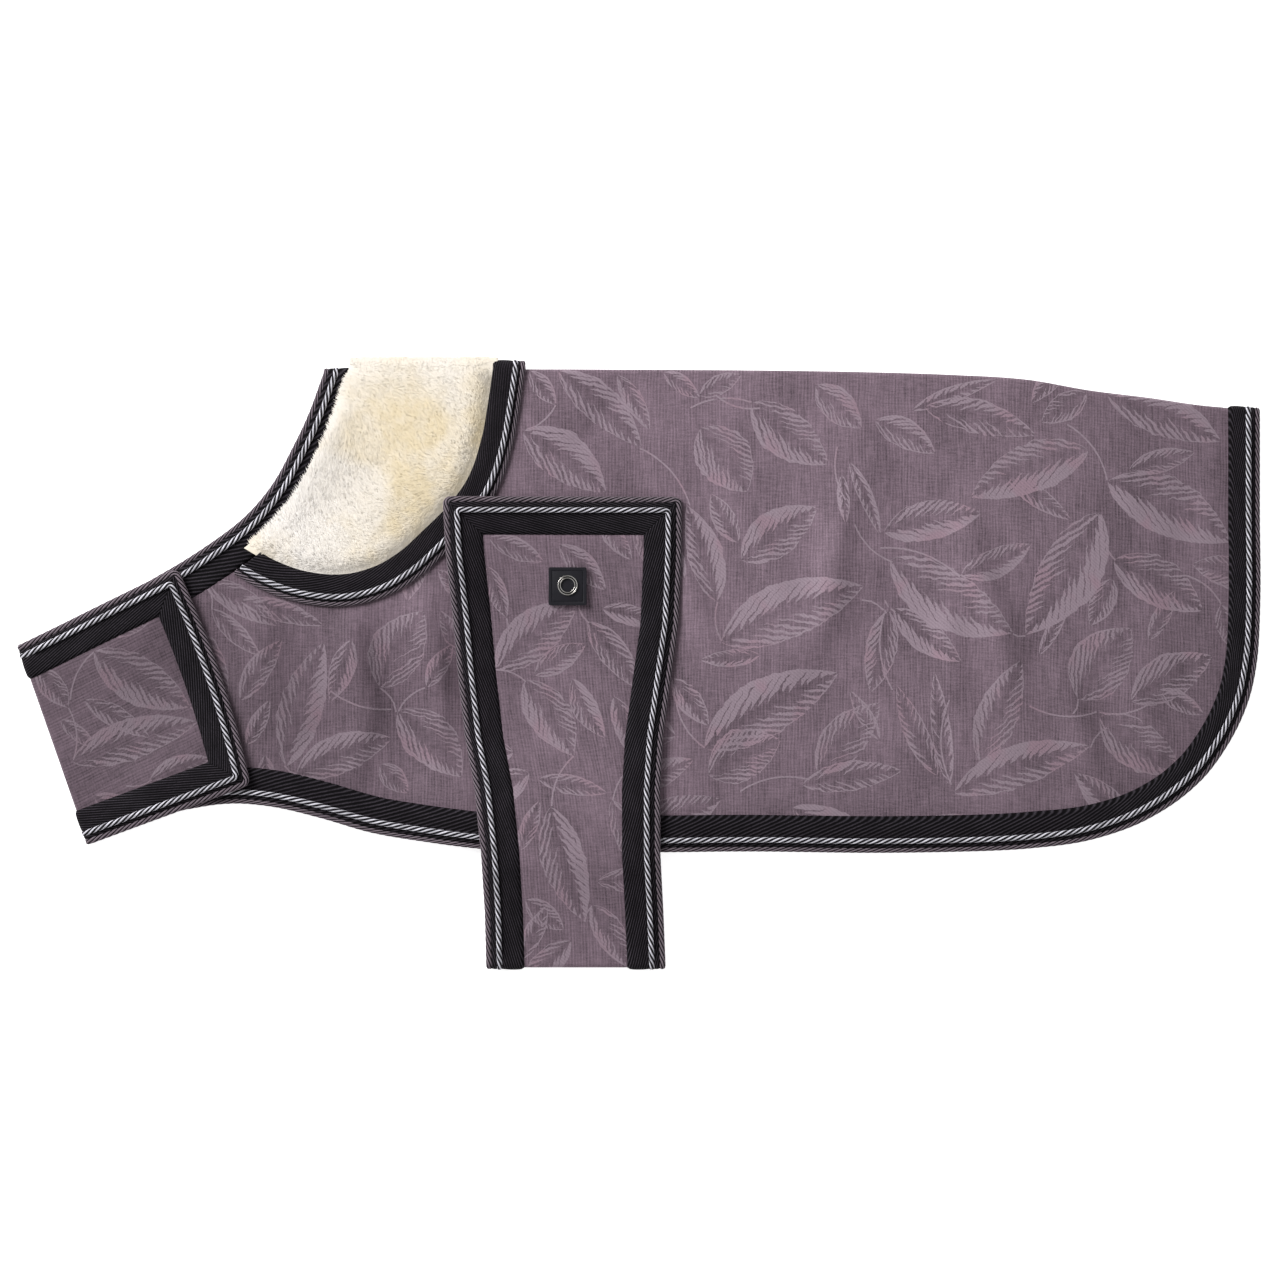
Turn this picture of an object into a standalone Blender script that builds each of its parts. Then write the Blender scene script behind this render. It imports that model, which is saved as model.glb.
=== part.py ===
"""Dog winter coat, folded at the spine and laid flat on its far side.

Sizes are in millimetres and become metres when a mesh is made. +Z is up, +X runs from the chest
to the tail, +Y from the belly to the spine. The floor is z = 0. Each cloth piece is one surface
with an outer and an inner point at every vertex. Bindings are made from their panel's own points.
"""

import math
from collections import namedtuple

import bmesh
import bpy
from mathutils import Matrix, Vector
from mathutils.bvhtree import BVHTree
from mathutils.geometry import delaunay_2d_cdt

MM = 0.001
ABOVE_ALL = 100.0

# Thicknesses and clearances
GAP = 0.3
CLOTH = 2.2
TAPE = 0.9
TAPE_STEP = GAP + TAPE
FLOOR_CLEAR = 0.05
COLLAR_CLOTH = 1.5
NEAR_PILE = 8.0
FAR_PILE = 4.6

# Binding, measured inwards from the outside of the edge cord
EDGE_CORD_WIDTH = 3.6
EDGE_CORD_HEIGHT = 3.0
STRAP_CORD_WIDTH = 4.2
TAPE_OUTER = EDGE_CORD_WIDTH + GAP
STRAP_TAPE_OUTER = STRAP_CORD_WIDTH + GAP
TAPE_INNER = 22.2
TAIL_TAPE_INNER = 19.2
COLLAR_TAPE_INNER = 19.4
BELLY_TAPE_INNER = 23.1
CHEST_TAPE_INNER = 21.8
SILVER_CENTRE = 7.2
COLLAR_SILVER_CENTRE = 6.0
BELLY_SILVER_CENTRE = 8.3
CHEST_SILVER_CENTRE = 7.3
SILVER_WIDTH = 3.9
SILVER_HEIGHT = 2.2
CORD_SIDES = 6
CORD_SEAT = 0.2

# Mesh spacing
RUNG_SPACING = 17.0
SPINE_SPACING = 20.0
PANEL_SPACING = 20.0
PANEL_EDGE_SHARE = 0.45
FINE_SPACING = 3.0
FOLD_STEPS = 4
CURVE_STEPS = 12
SMOOTH_ANGLE = 40.0
MITRE_LIMIT = 0.3

DRAPE_REACH = 16.0
DRAPE_SLOPE = 0.25
COLLAR_REACH = 4.0
CIRCLE_STEP = 2.5

# Moves the plan so that the origin is at the middle of its box
PLAN_SHIFT = (0.10, 0.98)

Spot = namedtuple("Spot", "x y")
Fold = namedtuple("Fold", "x y angle length width height")
Width = namedtuple("Width", "y left right")

# The outer line of the binding, from the end of the chest to the spine
NECK_EDGE = [
    Spot(-318.0, 37.0), Spot(-293.4, 49.7), Spot(-257.4, 71.7), Spot(-235.8, 88.5),
    Spot(-221.4, 105.3), Spot(-207.0, 131.1), Spot(-199.8, 146.1), Spot(-189.6, 173.4),
]
HEM_Y = -113.7
HEM_EDGE = [
    Spot(-290.0, -92.9), Spot(-271.8, -88.5), Spot(-243.0, -84.9), Spot(-221.4, -86.7),
    Spot(-192.6, -93.3), Spot(-161.4, -102.3), Spot(-125.4, -108.3), Spot(-90.0, -112.4),
    Spot(-50.0, HEM_Y), Spot(60.0, HEM_Y), Spot(198.6, HEM_Y), Spot(234.6, -111.9),
    Spot(272.4, -106.5), Spot(305.4, -94.5), Spot(338.4, -70.5), Spot(355.8, -46.5),
    Spot(366.6, -22.5), Spot(371.6, 1.5), Spot(373.2, 27.0), Spot(373.2, 90.0), Spot(373.2, 149.8),
]
# Where the flat cloth ends and the spine fold begins
SPINE = [
    Spot(-200.0, 173.4), Spot(-69.0, 173.7), Spot(40.0, 173.6), Spot(126.6, 172.5),
    Spot(190.0, 170.6), Spot(234.6, 167.7), Spot(270.6, 161.4), Spot(306.6, 156.9),
    Spot(342.6, 151.8), Spot(380.0, 149.7),
]
# The outer line of the collar's binding, from the spine to the neck binding
COLLAR_EDGE = [
    Spot(-68.4, 173.7), Spot(-71.4, 152.7), Spot(-75.6, 129.9), Spot(-85.8, 101.1),
    Spot(-98.4, 83.1), Spot(-115.8, 65.5), Spot(-132.0, 50.9), Spot(-149.4, 40.5),
    Spot(-173.4, 33.9), Spot(-203.4, 35.7), Spot(-227.4, 44.1), Spot(-245.4, 54.6),
]
COLLAR_TIP_X = -250.0
COLLAR_FLEECE_OVER_TAPE = 7.8
# The pile's share of its full height, from the neck side to the binding
COLLAR_PILE = (0.45, 0.9, 1.0, 1.0, 0.9, 0.0)
COLLAR_SHOULDER = 4.0
COLLAR_SHOULDER_SHARE = 0.2
COLLAR_MIDDLE = (0.4, 0.7)
# How far past the neck's tape the collar stays above it, and where it is down on the cloth
COLLAR_STEP_HOLD = TAPE_INNER + 5.0
COLLAR_STEP_FALL = 9.0
# Where the hem's tape starts to narrow towards the tail, and over what length
TAIL_START = 230.0
TAIL_EASE = 100.0

# Corners of the chest strap at its fold line and at its free end, which bulges in the middle
CHEST_FOLD = (Spot(-371.1, 11.4), Spot(-328.8, -108.9))
CHEST_END = (Spot(-276.6, 57.3), Spot(-232.8, -73.5))
CHEST_END_BULGE = 4.0

# Belly strap: where its sides lie at each height, its fold and its sewn end
BELLY_WIDTHS = [
    Width(-190.0, -91.8, 16.4), Width(-150.9, -92.7, 14.8), Width(-113.7, -94.8, 12.9),
    Width(-75.9, -98.7, 12.9), Width(-44.1, -104.7, 14.8), Width(-6.9, -108.9, 19.8),
    Width(23.7, -111.5, 24.0), Width(66.3, -115.9, 25.8), Width(105.0, -118.0, 26.0),
]
BELLY_TOP = 99.7
BELLY_FOLD = -181.0
BELLY_SEWN_END = -88.0
BELLY_UNDER_HEM = -125.0
BELLY_LEVEL_FROM_HEM = 6.0
BELLY_ROW = 15.0
CHEST_ROW = 14.0
CHEST_LOWER_ROWS = 3
STRAP_COLUMNS = 4
STRAP_CORNER = 2.2
CORNER_REACH = 1.2

# How far round a thing the cloth over it stays lifted, and the distance in which it comes down
BAND_HOLD = 24.0
BAND_FALL = 22.0
COLLAR_HOLD = 10.0
COLLAR_FALL = 70.0
STRAP_HOLD = 14.0
STRAP_FALL = 30.0
SPINE_HOLD = 4.0
SPINE_FALL = 26.0

# What each strap's upper run lies on
NEAR_TRIM = ["body_panel", "hem_tape", "hem_silver_cord", "hem_edge_cord"]
UNDER_BELLY_STRAP = [
    *NEAR_TRIM, "collar_fleece", "collar_tape", "collar_silver_cord", "collar_edge_cord",
]
UNDER_CHEST_STRAP = [*NEAR_TRIM, "neck_tape", "neck_silver_cord", "neck_edge_cord"]

# The largest soft folds in the near half
NEAR_FOLDS = [
    Fold(-190.0, -12.0, 82.0, 46.0, 13.0, 2.6),
    Fold(-124.0, -20.0, 97.0, 52.0, 10.0, 2.4),
    Fold(98.0, 12.0, 62.0, 85.0, 26.0, 2.2),
    Fold(214.0, 0.0, 104.0, 80.0, 22.0, 2.0),
    Fold(292.0, 82.0, 98.0, 60.0, 20.0, 1.7),
    Fold(140.0, 130.0, 128.0, 55.0, 16.0, 1.4),
    Fold(-38.0, 140.0, -52.0, 36.0, 12.0, 1.3),
    Fold(286.0, -52.0, 58.0, 34.0, 12.0, 1.3),
]

PATCH_AT = Spot(-42.8, 45.7)
PATCH_SIDE = 22.8
PATCH_THICK = 1.2
PATCH_ROUND = 0.4
RING_OUTER = 6.0
RING_INNER = 4.5
RING_THICK = 1.0
RING_SIDES = 32
RING_ROUND = 0.4
RING_UP = 0.6

# Materials: colour, roughness, metallic
CLOTH_FINISH = ((0.195, 0.145, 0.175), 0.75, 0.0)
TAPE_FINISH = ((0.014, 0.012, 0.014), 0.8, 0.0)
SILVER_FINISH = ((0.45, 0.43, 0.48), 0.45, 0.3)
EDGE_FINISH = ((0.075, 0.062, 0.072), 0.7, 0.0)
FLEECE_FINISH = ((0.84, 0.76, 0.62), 0.95, 0.0)
PATCH_FINISH = ((0.012, 0.011, 0.014), 0.5, 0.0)
METAL_FINISH = ((0.75, 0.75, 0.77), 0.18, 1.0)


def clear_scene():
    for thing in list(bpy.data.objects):
        bpy.data.objects.remove(thing)


def material(name, finish):
    """A plain material with the finish's colour, roughness and metallic value."""
    colour, roughness, metallic = finish
    made = bpy.data.materials.new(name)
    made.use_nodes = True
    shader = made.node_tree.nodes["Principled BSDF"]
    shader.inputs["Base Color"].default_value = (*colour, 1.0)
    shader.inputs["Roughness"].default_value = roughness
    shader.inputs["Metallic"].default_value = metallic
    return made


# Curves and distances in plan


def ease(t):
    t = min(max(t, 0.0), 1.0)
    return t * t * (3 - 2 * t)


def plateau(distance, hold, fall):
    """1 up to hold from a thing, then easing down to 0 over the next fall."""
    return 1 - ease((distance - hold) / fall)


def smooth_line(spots, spacing):
    """Evenly spaced points on a smooth curve through the spots."""
    points = [Vector((s[0], s[1])) for s in spots]
    ends = [2 * points[0] - points[1], *points, 2 * points[-1] - points[-2]]
    fine = []
    for a, b, c, d in zip(ends, ends[1:], ends[2:], ends[3:]):
        span = (c - b).length
        out = (c - b) * (b - a).length + (b - a) * span
        into = (d - c) * span + (c - b) * (d - c).length
        out *= span / max((b - a).length + span, 1e-9) / max((b - a).length, 1e-9)
        into *= span / max((d - c).length + span, 1e-9) / max((d - c).length, 1e-9)
        for k in range(CURVE_STEPS):
            t = k / CURVE_STEPS
            fine.append(
                b * (2 * t**3 - 3 * t**2 + 1) + out * (t**3 - 2 * t**2 + t)
                + c * (3 * t**2 - 2 * t**3) + into * (t**3 - t**2)
            )
    fine.append(points[-1])
    return evenly(fine, spacing)


def evenly(points, spacing):
    """The line again, with its points about the spacing apart."""
    lengths = [(b - a).length for a, b in zip(points, points[1:])]
    total = sum(lengths)
    count = max(2, round(total / spacing) + 1)
    result = []
    i, done = 0, 0.0
    for k in range(count):
        at = total * k / (count - 1)
        while i < len(lengths) - 1 and done + lengths[i] < at:
            done += lengths[i]
            i += 1
        result.append(points[i].lerp(points[i + 1], min((at - done) / lengths[i], 1.0)))
    return result


def offset(line, inwards, first=None, last=None):
    """The line moved to its left by a distance, or by a list of distances. first and last turn its ends."""
    moved = []
    if not isinstance(inwards, list):
        inwards = [inwards] * len(line)
    for i, p in enumerate(line):
        along = line[min(i + 1, len(line) - 1)] - line[max(i - 1, 0)]
        way = Vector((-along.y, along.x)).normalized()
        if i == 0 and first is not None:
            way = first / max(first.dot(way), MITRE_LIMIT)
        if i == len(line) - 1 and last is not None:
            way = last / max(last.dot(way), MITRE_LIMIT)
        moved.append(p + way * inwards[i])
    return moved


def distance_to(p, line):
    """Distance from a point to an open line."""
    best = 1e9
    for a, b in zip(line, line[1:]):
        ab = b - a
        t = min(max((p - a).dot(ab) / ab.length_squared, 0.0), 1.0)
        best = min(best, (p - a - ab * t).length_squared)
    return math.sqrt(best)


def inside(p, ring):
    """Whether a point lies inside a closed ring."""
    odd = False
    for a, b in zip(ring, ring[1:] + ring[:1]):
        if (a.y > p.y) != (b.y > p.y) and p.x < a.x + (b.x - a.x) * (p.y - a.y) / (b.y - a.y):
            odd = not odd
    return odd


def spine_y(x):
    """Where the spine fold begins at this length."""
    for a, b in zip(SPINE, SPINE[1:]):
        if a.x <= x <= b.x:
            return a.y + (b.y - a.y) * ease_line((x - a.x) / (b.x - a.x))
    return SPINE[-1].y


def ease_line(t):
    """Half way between straight and eased, so the spine has no sharp corners."""
    return 0.5 * t + 0.5 * ease(t)


def belly_side(y, side):
    """The belly strap's left or right side at this height."""
    for a, b in zip(BELLY_WIDTHS, BELLY_WIDTHS[1:]):
        if a.y <= y <= b.y:
            t = (y - a.y) / (b.y - a.y)
            return getattr(a, side) + (getattr(b, side) - getattr(a, side)) * t
    return getattr(BELLY_WIDTHS[-1], side)


# Shared outlines

NECK_LINE = smooth_line(NECK_EDGE, RUNG_SPACING)
HEM_LINE = smooth_line(HEM_EDGE, RUNG_SPACING)
COLLAR_LINE = smooth_line(COLLAR_EDGE, RUNG_SPACING)
COLLAR_RING = COLLAR_LINE + [p for p in NECK_LINE if p.x > COLLAR_TIP_X]
BELLY_RING = [
    Vector((belly_side(y, side), y))
    for side, y in (
        ("left", BELLY_SEWN_END), ("right", BELLY_SEWN_END),
        ("right", BELLY_UNDER_HEM), ("left", BELLY_UNDER_HEM),
    )
]


def ring_distance(p, ring):
    """Distance from a point to a closed ring's inside."""
    if inside(p, ring):
        return 0.0
    return distance_to(p, ring + ring[:1])


# How high each layer lies


def trim_distance(p):
    return min(distance_to(p, HEM_LINE), distance_to(p, NECK_LINE))


def far_under(p):
    """The lowest face of the far half: flat on the floor, lifted by its tape and the far collar."""
    over_tape = (TAPE_STEP + FLOOR_CLEAR) * plateau(trim_distance(p), BAND_HOLD, BAND_FALL)
    over_collar = (FAR_PILE + GAP) * plateau(ring_distance(p, COLLAR_RING), COLLAR_HOLD, COLLAR_FALL)
    return max(over_tape, over_collar)


def soft_folds(p):
    """The height that the near half's soft folds add, fading out at the binding and the spine."""
    height = 0.0
    for fold in NEAR_FOLDS:
        turn = math.radians(fold.angle)
        x, y = p.x - fold.x, p.y - fold.y
        along = x * math.cos(turn) + y * math.sin(turn)
        across = y * math.cos(turn) - x * math.sin(turn)
        height += fold.height * math.exp(-((along / fold.length) ** 2) - (across / fold.width) ** 2)
    fade = 1 - plateau(trim_distance(p), BAND_HOLD, BAND_FALL)
    fade *= 1 - plateau(spine_y(p.x) - p.y, SPINE_HOLD, SPINE_FALL)
    fade *= 1 - plateau(ring_distance(p, COLLAR_RING), 0.0, BAND_FALL)
    return height * fade


def near_under(p):
    """The inner face of the near half, over the far half and the belly strap's sewn end."""
    strap = TAPE_STEP + CLOTH + GAP
    over_strap = strap * plateau(ring_distance(p, BELLY_RING), STRAP_HOLD, STRAP_FALL)
    return far_under(p) + CLOTH + GAP + over_strap + soft_folds(p)


class Ground:
    """The objects that the cloth above lies on."""

    def __init__(self, names):
        self.trees = []
        for name in names:
            data = bpy.data.objects[name].data
            points = [v.co / MM for v in data.vertices]
            self.trees.append(BVHTree.FromPolygons(points, [f.vertices[:] for f in data.polygons]))

    def highest(self, p, reach):
        """The highest point under a small circle, or the floor."""
        down = Vector((0.0, 0.0, -1.0))
        best = 0.0
        for spot in circle_of(p, reach):
            for tree in self.trees:
                hit = tree.ray_cast(at_height(spot, ABOVE_ALL), down)[0]
                if hit is not None:
                    best = max(best, hit.z)
        return best

    def lowest(self, p, reach):
        """The lowest point over a small circle."""
        up = Vector((0.0, 0.0, 1.0))
        best = ABOVE_ALL
        for spot in circle_of(p, reach):
            for tree in self.trees:
                hit = tree.ray_cast(at_height(spot, -ABOVE_ALL), up)[0]
                if hit is not None:
                    best = min(best, hit.z)
        return best


def circle_of(p, reach):
    """Points over a small circle, close enough together to find a cord."""
    spots = [p]
    rings = max(1, math.ceil(reach / CIRCLE_STEP))
    for ring_number in range(1, rings + 1):
        radius = reach * ring_number / rings
        for k in range(6 * ring_number):
            turn = math.pi * k / (3 * ring_number)
            spots.append(Vector((p.x + radius * math.cos(turn), p.y + radius * math.sin(turn))))
    return spots


def draped(rows):
    """Raises a grid of (plan point, height) rows until no slope is too steep, then softens it."""
    height = [[z for _, z in row] for row in rows]
    plan = [[p for p, _ in row] for row in rows]
    near = ((0, 1), (1, 0), (0, -1), (-1, 0))

    def neighbours(r, c):
        for dr, dc in near:
            if 0 <= r + dr < len(rows) and 0 <= c + dc < len(rows[0]):
                yield height[r + dr][c + dc], (plan[r + dr][c + dc] - plan[r][c]).length

    for _ in range(len(rows)):
        for r in range(1, len(rows)):
            for c in range(len(rows[0])):
                height[r][c] = max(height[r][c], *(z - DRAPE_SLOPE * d for z, d in neighbours(r, c)))
    for _ in range(2):
        softer = [list(row) for row in height]
        for r in range(1, len(rows)):
            for c in range(len(rows[0])):
                around = [z for z, _ in neighbours(r, c)]
                softer[r][c] = max(height[r][c], sum(around) / len(around))
        height = softer
    return [list(zip(*pair)) for pair in zip(plan, height)]


# Surfaces


class Surface:
    """A cloth surface: vertices with an outer and an inner point, faces, and its bound edges."""

    def __init__(self):
        self.outer = []
        self.inner = []
        self.faces = []
        self.band = []
        self.rungs = []
        self.corners = set()

    def add(self, outer, inner):
        self.outer.append(outer)
        self.inner.append(inner)
        return len(self.outer) - 1

    def outwards(self, i):
        return (self.outer[i] - self.inner[i]).normalized()

    def fold(self, near, far, out):
        """The vertices of a fold from a near vertex round to a far one, with both ends."""
        chain = [near]
        for k in range(1, FOLD_STEPS):
            turn = math.pi * (0.5 - k / FOLD_STEPS)
            points = []
            for side in (self.outer, self.inner):
                middle = (side[near] + side[far]) / 2
                radius = abs(side[near].z - side[far].z) / 2
                points.append(middle + out * (radius * math.cos(turn))
                              + Vector((0, 0, radius * math.sin(turn))))
            chain.append(self.add(*points))
        return [*chain, far]

    def strip(self, first, second, band=False):
        """Faces between two chains of vertices of the same length."""
        for i in range(len(first) - 1):
            for face in ((first[i], first[i + 1], second[i + 1]), (first[i], second[i + 1], second[i])):
                if len(set(face)) == 3:
                    self.faces.append(face)
                    if band:
                        self.band.append(face)


def wall_object(name, faces, outer, inner, finish):
    """A closed object between an outer and an inner copy of the faces."""
    mesh = bmesh.new()
    used = sorted({i for face in faces for i in face})
    out_vert = {i: mesh.verts.new(to_world(outer[i])) for i in used}
    in_vert = {i: mesh.verts.new(to_world(inner[i])) for i in used}
    sides = {}
    for a, b, c in faces:
        mesh.faces.new((out_vert[a], out_vert[b], out_vert[c]))
        mesh.faces.new((in_vert[c], in_vert[b], in_vert[a]))
        for edge in ((a, b), (b, c), (c, a)):
            key = tuple(sorted(edge))
            sides[key] = None if key in sides else edge
    for edge in sides.values():
        if edge:
            a, b = edge
            mesh.faces.new((out_vert[b], out_vert[a], in_vert[a], in_vert[b]))
    return finished(name, mesh, finish)


def to_world(p):
    return Vector(p) * MM


def finished(name, mesh, finish):
    """An object made from a closed mesh, its faces pointing out."""
    bmesh.ops.recalc_face_normals(mesh, faces=mesh.faces[:])
    if mesh.calc_volume(signed=True) < 0:
        bmesh.ops.reverse_faces(mesh, faces=mesh.faces[:])
    data = bpy.data.meshes.new(name)
    mesh.to_mesh(data)
    mesh.free()
    made = bpy.data.objects.new(name, data)
    bpy.context.scene.collection.objects.link(made)
    data.materials.append(material(name, finish))
    data.shade_smooth()
    data.set_sharp_from_angle(angle=math.radians(SMOOTH_ANGLE))
    return made


def tube_object(name, path, across, up, width, height, finish):
    """A closed tube of an oval section along a path."""
    mesh = bmesh.new()
    rings = []
    for p, side, rise in zip(path, across, up):
        ring = []
        for k in range(CORD_SIDES):
            turn = 2 * math.pi * (k + 0.5) / CORD_SIDES
            ring.append(mesh.verts.new(to_world(
                p + side * (width / 2 * math.cos(turn)) + rise * (height / 2 * math.sin(turn)))))
        rings.append(ring)
    for first, second in zip(rings, rings[1:]):
        for k in range(CORD_SIDES):
            n = (k + 1) % CORD_SIDES
            mesh.faces.new((first[k], first[n], second[n], second[k]))
    mesh.faces.new(rings[0])
    mesh.faces.new(rings[-1])
    return finished(name, mesh, finish)


def binding(name, surface, tape_inner=TAPE_INNER, silver_centre=SILVER_CENTRE,
            cord_width=EDGE_CORD_WIDTH):
    """The tape, the silver cord and the edge cord of a surface's bound edges."""
    lift = {i: surface.outwards(i) for face in surface.band for i in face}
    top = {i: surface.outer[i] + lift[i] * (GAP + TAPE) for i in lift}
    under = {i: surface.outer[i] + lift[i] * GAP for i in lift}
    wall_object(f"{name}_tape", surface.band, top, under, TAPE_FINISH)

    tape_outer = cord_width + GAP
    silver_share = (silver_centre - tape_outer) / (tape_inner - tape_outer)
    edge_path, silver_path = [], []
    for p, q, shown in surface.rungs:
        lift = surface.outwards(p)
        rung = surface.outer[p] - surface.outer[q]
        away = (rung - lift * rung.dot(lift)).normalized()
        corner = CORNER_REACH if len({p, q} & surface.corners) == 2 else 1.0
        middle = surface.inner[p] + lift * (EDGE_CORD_HEIGHT / 2 + CORD_SEAT)
        reach = (GAP + cord_width / 2) * corner
        edge_path.append((middle + away * reach, away, lift))
        if shown:
            base = surface.outer[p].lerp(surface.outer[q], silver_share)
            rise = TAPE_STEP + GAP + SILVER_HEIGHT / 2
            silver_path.append((base + lift * rise, away, lift))
    tube_object(f"{name}_silver_cord", *zip(*silver_path), SILVER_WIDTH, SILVER_HEIGHT, SILVER_FINISH)
    tube_object(f"{name}_edge_cord", *zip(*edge_path), cord_width, EDGE_CORD_HEIGHT, EDGE_FINISH)


def at_height(p, z):
    return Vector((p.x, p.y, z))


# The body panel


def body_plan():
    """One half in plan: its two ladders of binding, its spine and its end at the chest."""
    chest_way = (NECK_LINE[0] - HEM_LINE[0]).normalized()
    spine_way = Vector((-1.0, 0.0))
    narrowing = [ease((p.x - TAIL_START) / TAIL_EASE) for p in HEM_LINE]
    widths = [TAPE_INNER + (TAIL_TAPE_INNER - TAPE_INNER) * t for t in narrowing]
    hem = [offset(HEM_LINE, d, chest_way, spine_way) for d in (TAPE_OUTER, widths)]
    neck = [offset(NECK_LINE, -d, chest_way, spine_way) for d in (TAPE_OUTER, TAPE_INNER)]
    for line in (*hem, *neck):
        line[-1] = Vector((line[-1].x, spine_y(line[-1].x)))
    left, right = neck[1][-1].x, hem[1][-1].x
    count = round((right - left) / SPINE_SPACING)
    steps = [left + (right - left) * k / count for k in range(1, count)]
    spine = [Vector((x, spine_y(x))) for x in steps]
    chest = evenly([neck[1][0], hem[1][0]], PANEL_SPACING)[1:-1]
    return hem, neck, spine, chest


def inner_points(ring):
    """Staggered points inside a ring, clear of its edge."""
    low_x, high_x = min(p.x for p in ring), max(p.x for p in ring)
    low_y, high_y = min(p.y for p in ring), max(p.y for p in ring)
    row_step = PANEL_SPACING * math.sqrt(3) / 2
    closed = ring + ring[:1]
    points = []
    for row in range(int((high_y - low_y) / row_step) + 1):
        shift = PANEL_SPACING / 2 * (row % 2)
        for column in range(int((high_x - low_x) / PANEL_SPACING) + 1):
            p = Vector((low_x + shift + column * PANEL_SPACING, low_y + row * row_step))
            if inside(p, ring) and distance_to(p, closed) > PANEL_SPACING * PANEL_EDGE_SHARE:
                points.append(p)
    return points


def body_surface():
    hem, neck, spine, chest = body_plan()
    ring = [*hem[1], *reversed(spine), *reversed(neck[1]), *chest]
    plan = [*ring, *inner_points(ring)]
    edges = [(i, (i + 1) % len(ring)) for i in range(len(ring))]
    verts, _, faces, *_ = delaunay_2d_cdt(plan, edges, [list(range(len(ring)))], 1, 1e-5)
    surface = Surface()

    def add_half(near):
        def add(p):
            low = near_under(p) if near else far_under(p)
            high = low + CLOTH
            outer, inner = (high, low) if near else (low, high)
            return surface.add(at_height(p, outer), at_height(p, inner))

        index = [add(p) for p in verts]
        inner_faces = [tuple(index[i] for i in face) for face in faces]
        surface.faces.extend(inner_faces)
        hem_in = index[: len(hem[1])]
        spine_in = index[len(hem[1]): len(hem[1]) + len(spine)][::-1]
        neck_in = index[len(hem[1]) + len(spine): len(ring) - len(chest)][::-1]
        hem_out = [add(p) for p in hem[0]]
        neck_out = [add(p) for p in neck[0]]
        return hem_out, hem_in, neck_out, neck_in, spine_in

    near, far = add_half(True), add_half(False)
    bands = {"hem": [], "neck": []}
    rungs = {"hem": [], "neck": []}
    for name, out, into in (("hem", 0, 1), ("neck", 2, 3)):
        for half in (near, far):
            surface.band = bands[name]
            surface.strip(half[out], half[into], band=True)
    up_fold = Vector((0.0, 1.0, 0.0))
    near_spine = [near[2][-1], near[3][-1], *near[4], near[1][-1], near[0][-1]]
    far_spine = [far[2][-1], far[3][-1], *far[4], far[1][-1], far[0][-1]]
    chains = [surface.fold(n, f, up_fold) for n, f in zip(near_spine, far_spine)]
    for k, (first, second) in enumerate(zip(chains, chains[1:])):
        surface.band = bands["neck"] if k == 0 else bands["hem"]
        surface.strip(first, second, band=k in (0, len(chains) - 2))
    for name, out, into, chain_out, chain_in in (
        ("hem", 0, 1, chains[-1], chains[-2]), ("neck", 2, 3, chains[0], chains[1])
    ):
        rungs[name] = [(p, q, True) for p, q in zip(near[out], near[into])]
        rungs[name] += [(p, q, False) for p, q in list(zip(chain_out, chain_in))[1:-1]]
        rungs[name] += [(p, q, False) for p, q in list(zip(far[out], far[into]))[::-1]]
    return surface, bands, rungs


def body():
    surface, bands, rungs = body_surface()
    wall_object("body_panel", surface.faces, surface.outer, surface.inner, CLOTH_FINISH)
    for name in ("hem", "neck"):
        surface.band, surface.rungs = bands[name], rungs[name]
        binding(name, surface)


# Straps: rows of points from the sewn end of the lower run, round a fold, to the free end


def strap_surface(rows, out):
    """rows holds the lower and the upper run, each a list of rows of (plan point, inner height)."""
    surface = Surface()
    lower, upper = rows
    low = [[surface.add(at_height(p, z - CLOTH), at_height(p, z)) for p, z in row] for row in lower]
    high = [[surface.add(at_height(p, z + CLOTH), at_height(p, z)) for p, z in row] for row in upper]
    folds = [surface.fold(n, f, out) for n, f in zip(high[0], low[-1])]
    bend = [list(row) for row in zip(*folds)][1:-1][::-1]
    grid = [*low, *bend, *high]
    middle = len(grid[0]) // 2
    for r, (first, second) in enumerate(zip(grid, grid[1:])):
        for c in range(len(first) - 1):
            band = c in (0, len(first) - 2) or r == len(grid) - 2
            a, b, d, e = first[c], first[c + 1], second[c], second[c + 1]
            pair = ((a, b, d), (b, e, d)) if c < middle else ((a, b, e), (a, e, d))
            surface.faces.extend(pair)
            if band:
                surface.band.extend(pair)
    hidden = len(low) + len(bend)
    left = [(row[0], row[1], r >= hidden) for r, row in enumerate(grid[:-1])]
    right = [(row[-1], row[-2], r >= hidden) for r, row in enumerate(grid[:-1])]
    top = [(p, q, True) for p, q in zip(grid[-1][1:-1], grid[-2][1:-1])]
    corner_left = [(grid[-1][0], grid[-2][1], True)]
    corner_right = [(grid[-1][-1], grid[-2][-2], True)]
    surface.corners = {i for p, q, _ in (*corner_left, *corner_right) for i in (p, q)}
    surface.rungs = [*left, *corner_left, *top, *corner_right, *reversed(right)]
    return surface


def across_points(left, right, tape_inner):
    """Points from a strap's left side to its right side: two of binding, the cloth, two of binding."""
    width = (right - left).length
    cloth = width - 2 * tape_inner
    inner = [tape_inner + cloth * k / (STRAP_COLUMNS + 1) for k in range(STRAP_COLUMNS + 2)]
    stops = [STRAP_TAPE_OUTER, *inner, width - STRAP_TAPE_OUTER]
    return [left.lerp(right, s / width) for s in stops]


def pull_in_corners(row, inner_row):
    """Rounds a strap's two free corners a little."""
    for end, near in ((0, 1), (-1, -2)):
        way = (inner_row[near] - row[end]).normalized()
        row[end] = row[end] + way * STRAP_CORNER


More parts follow.
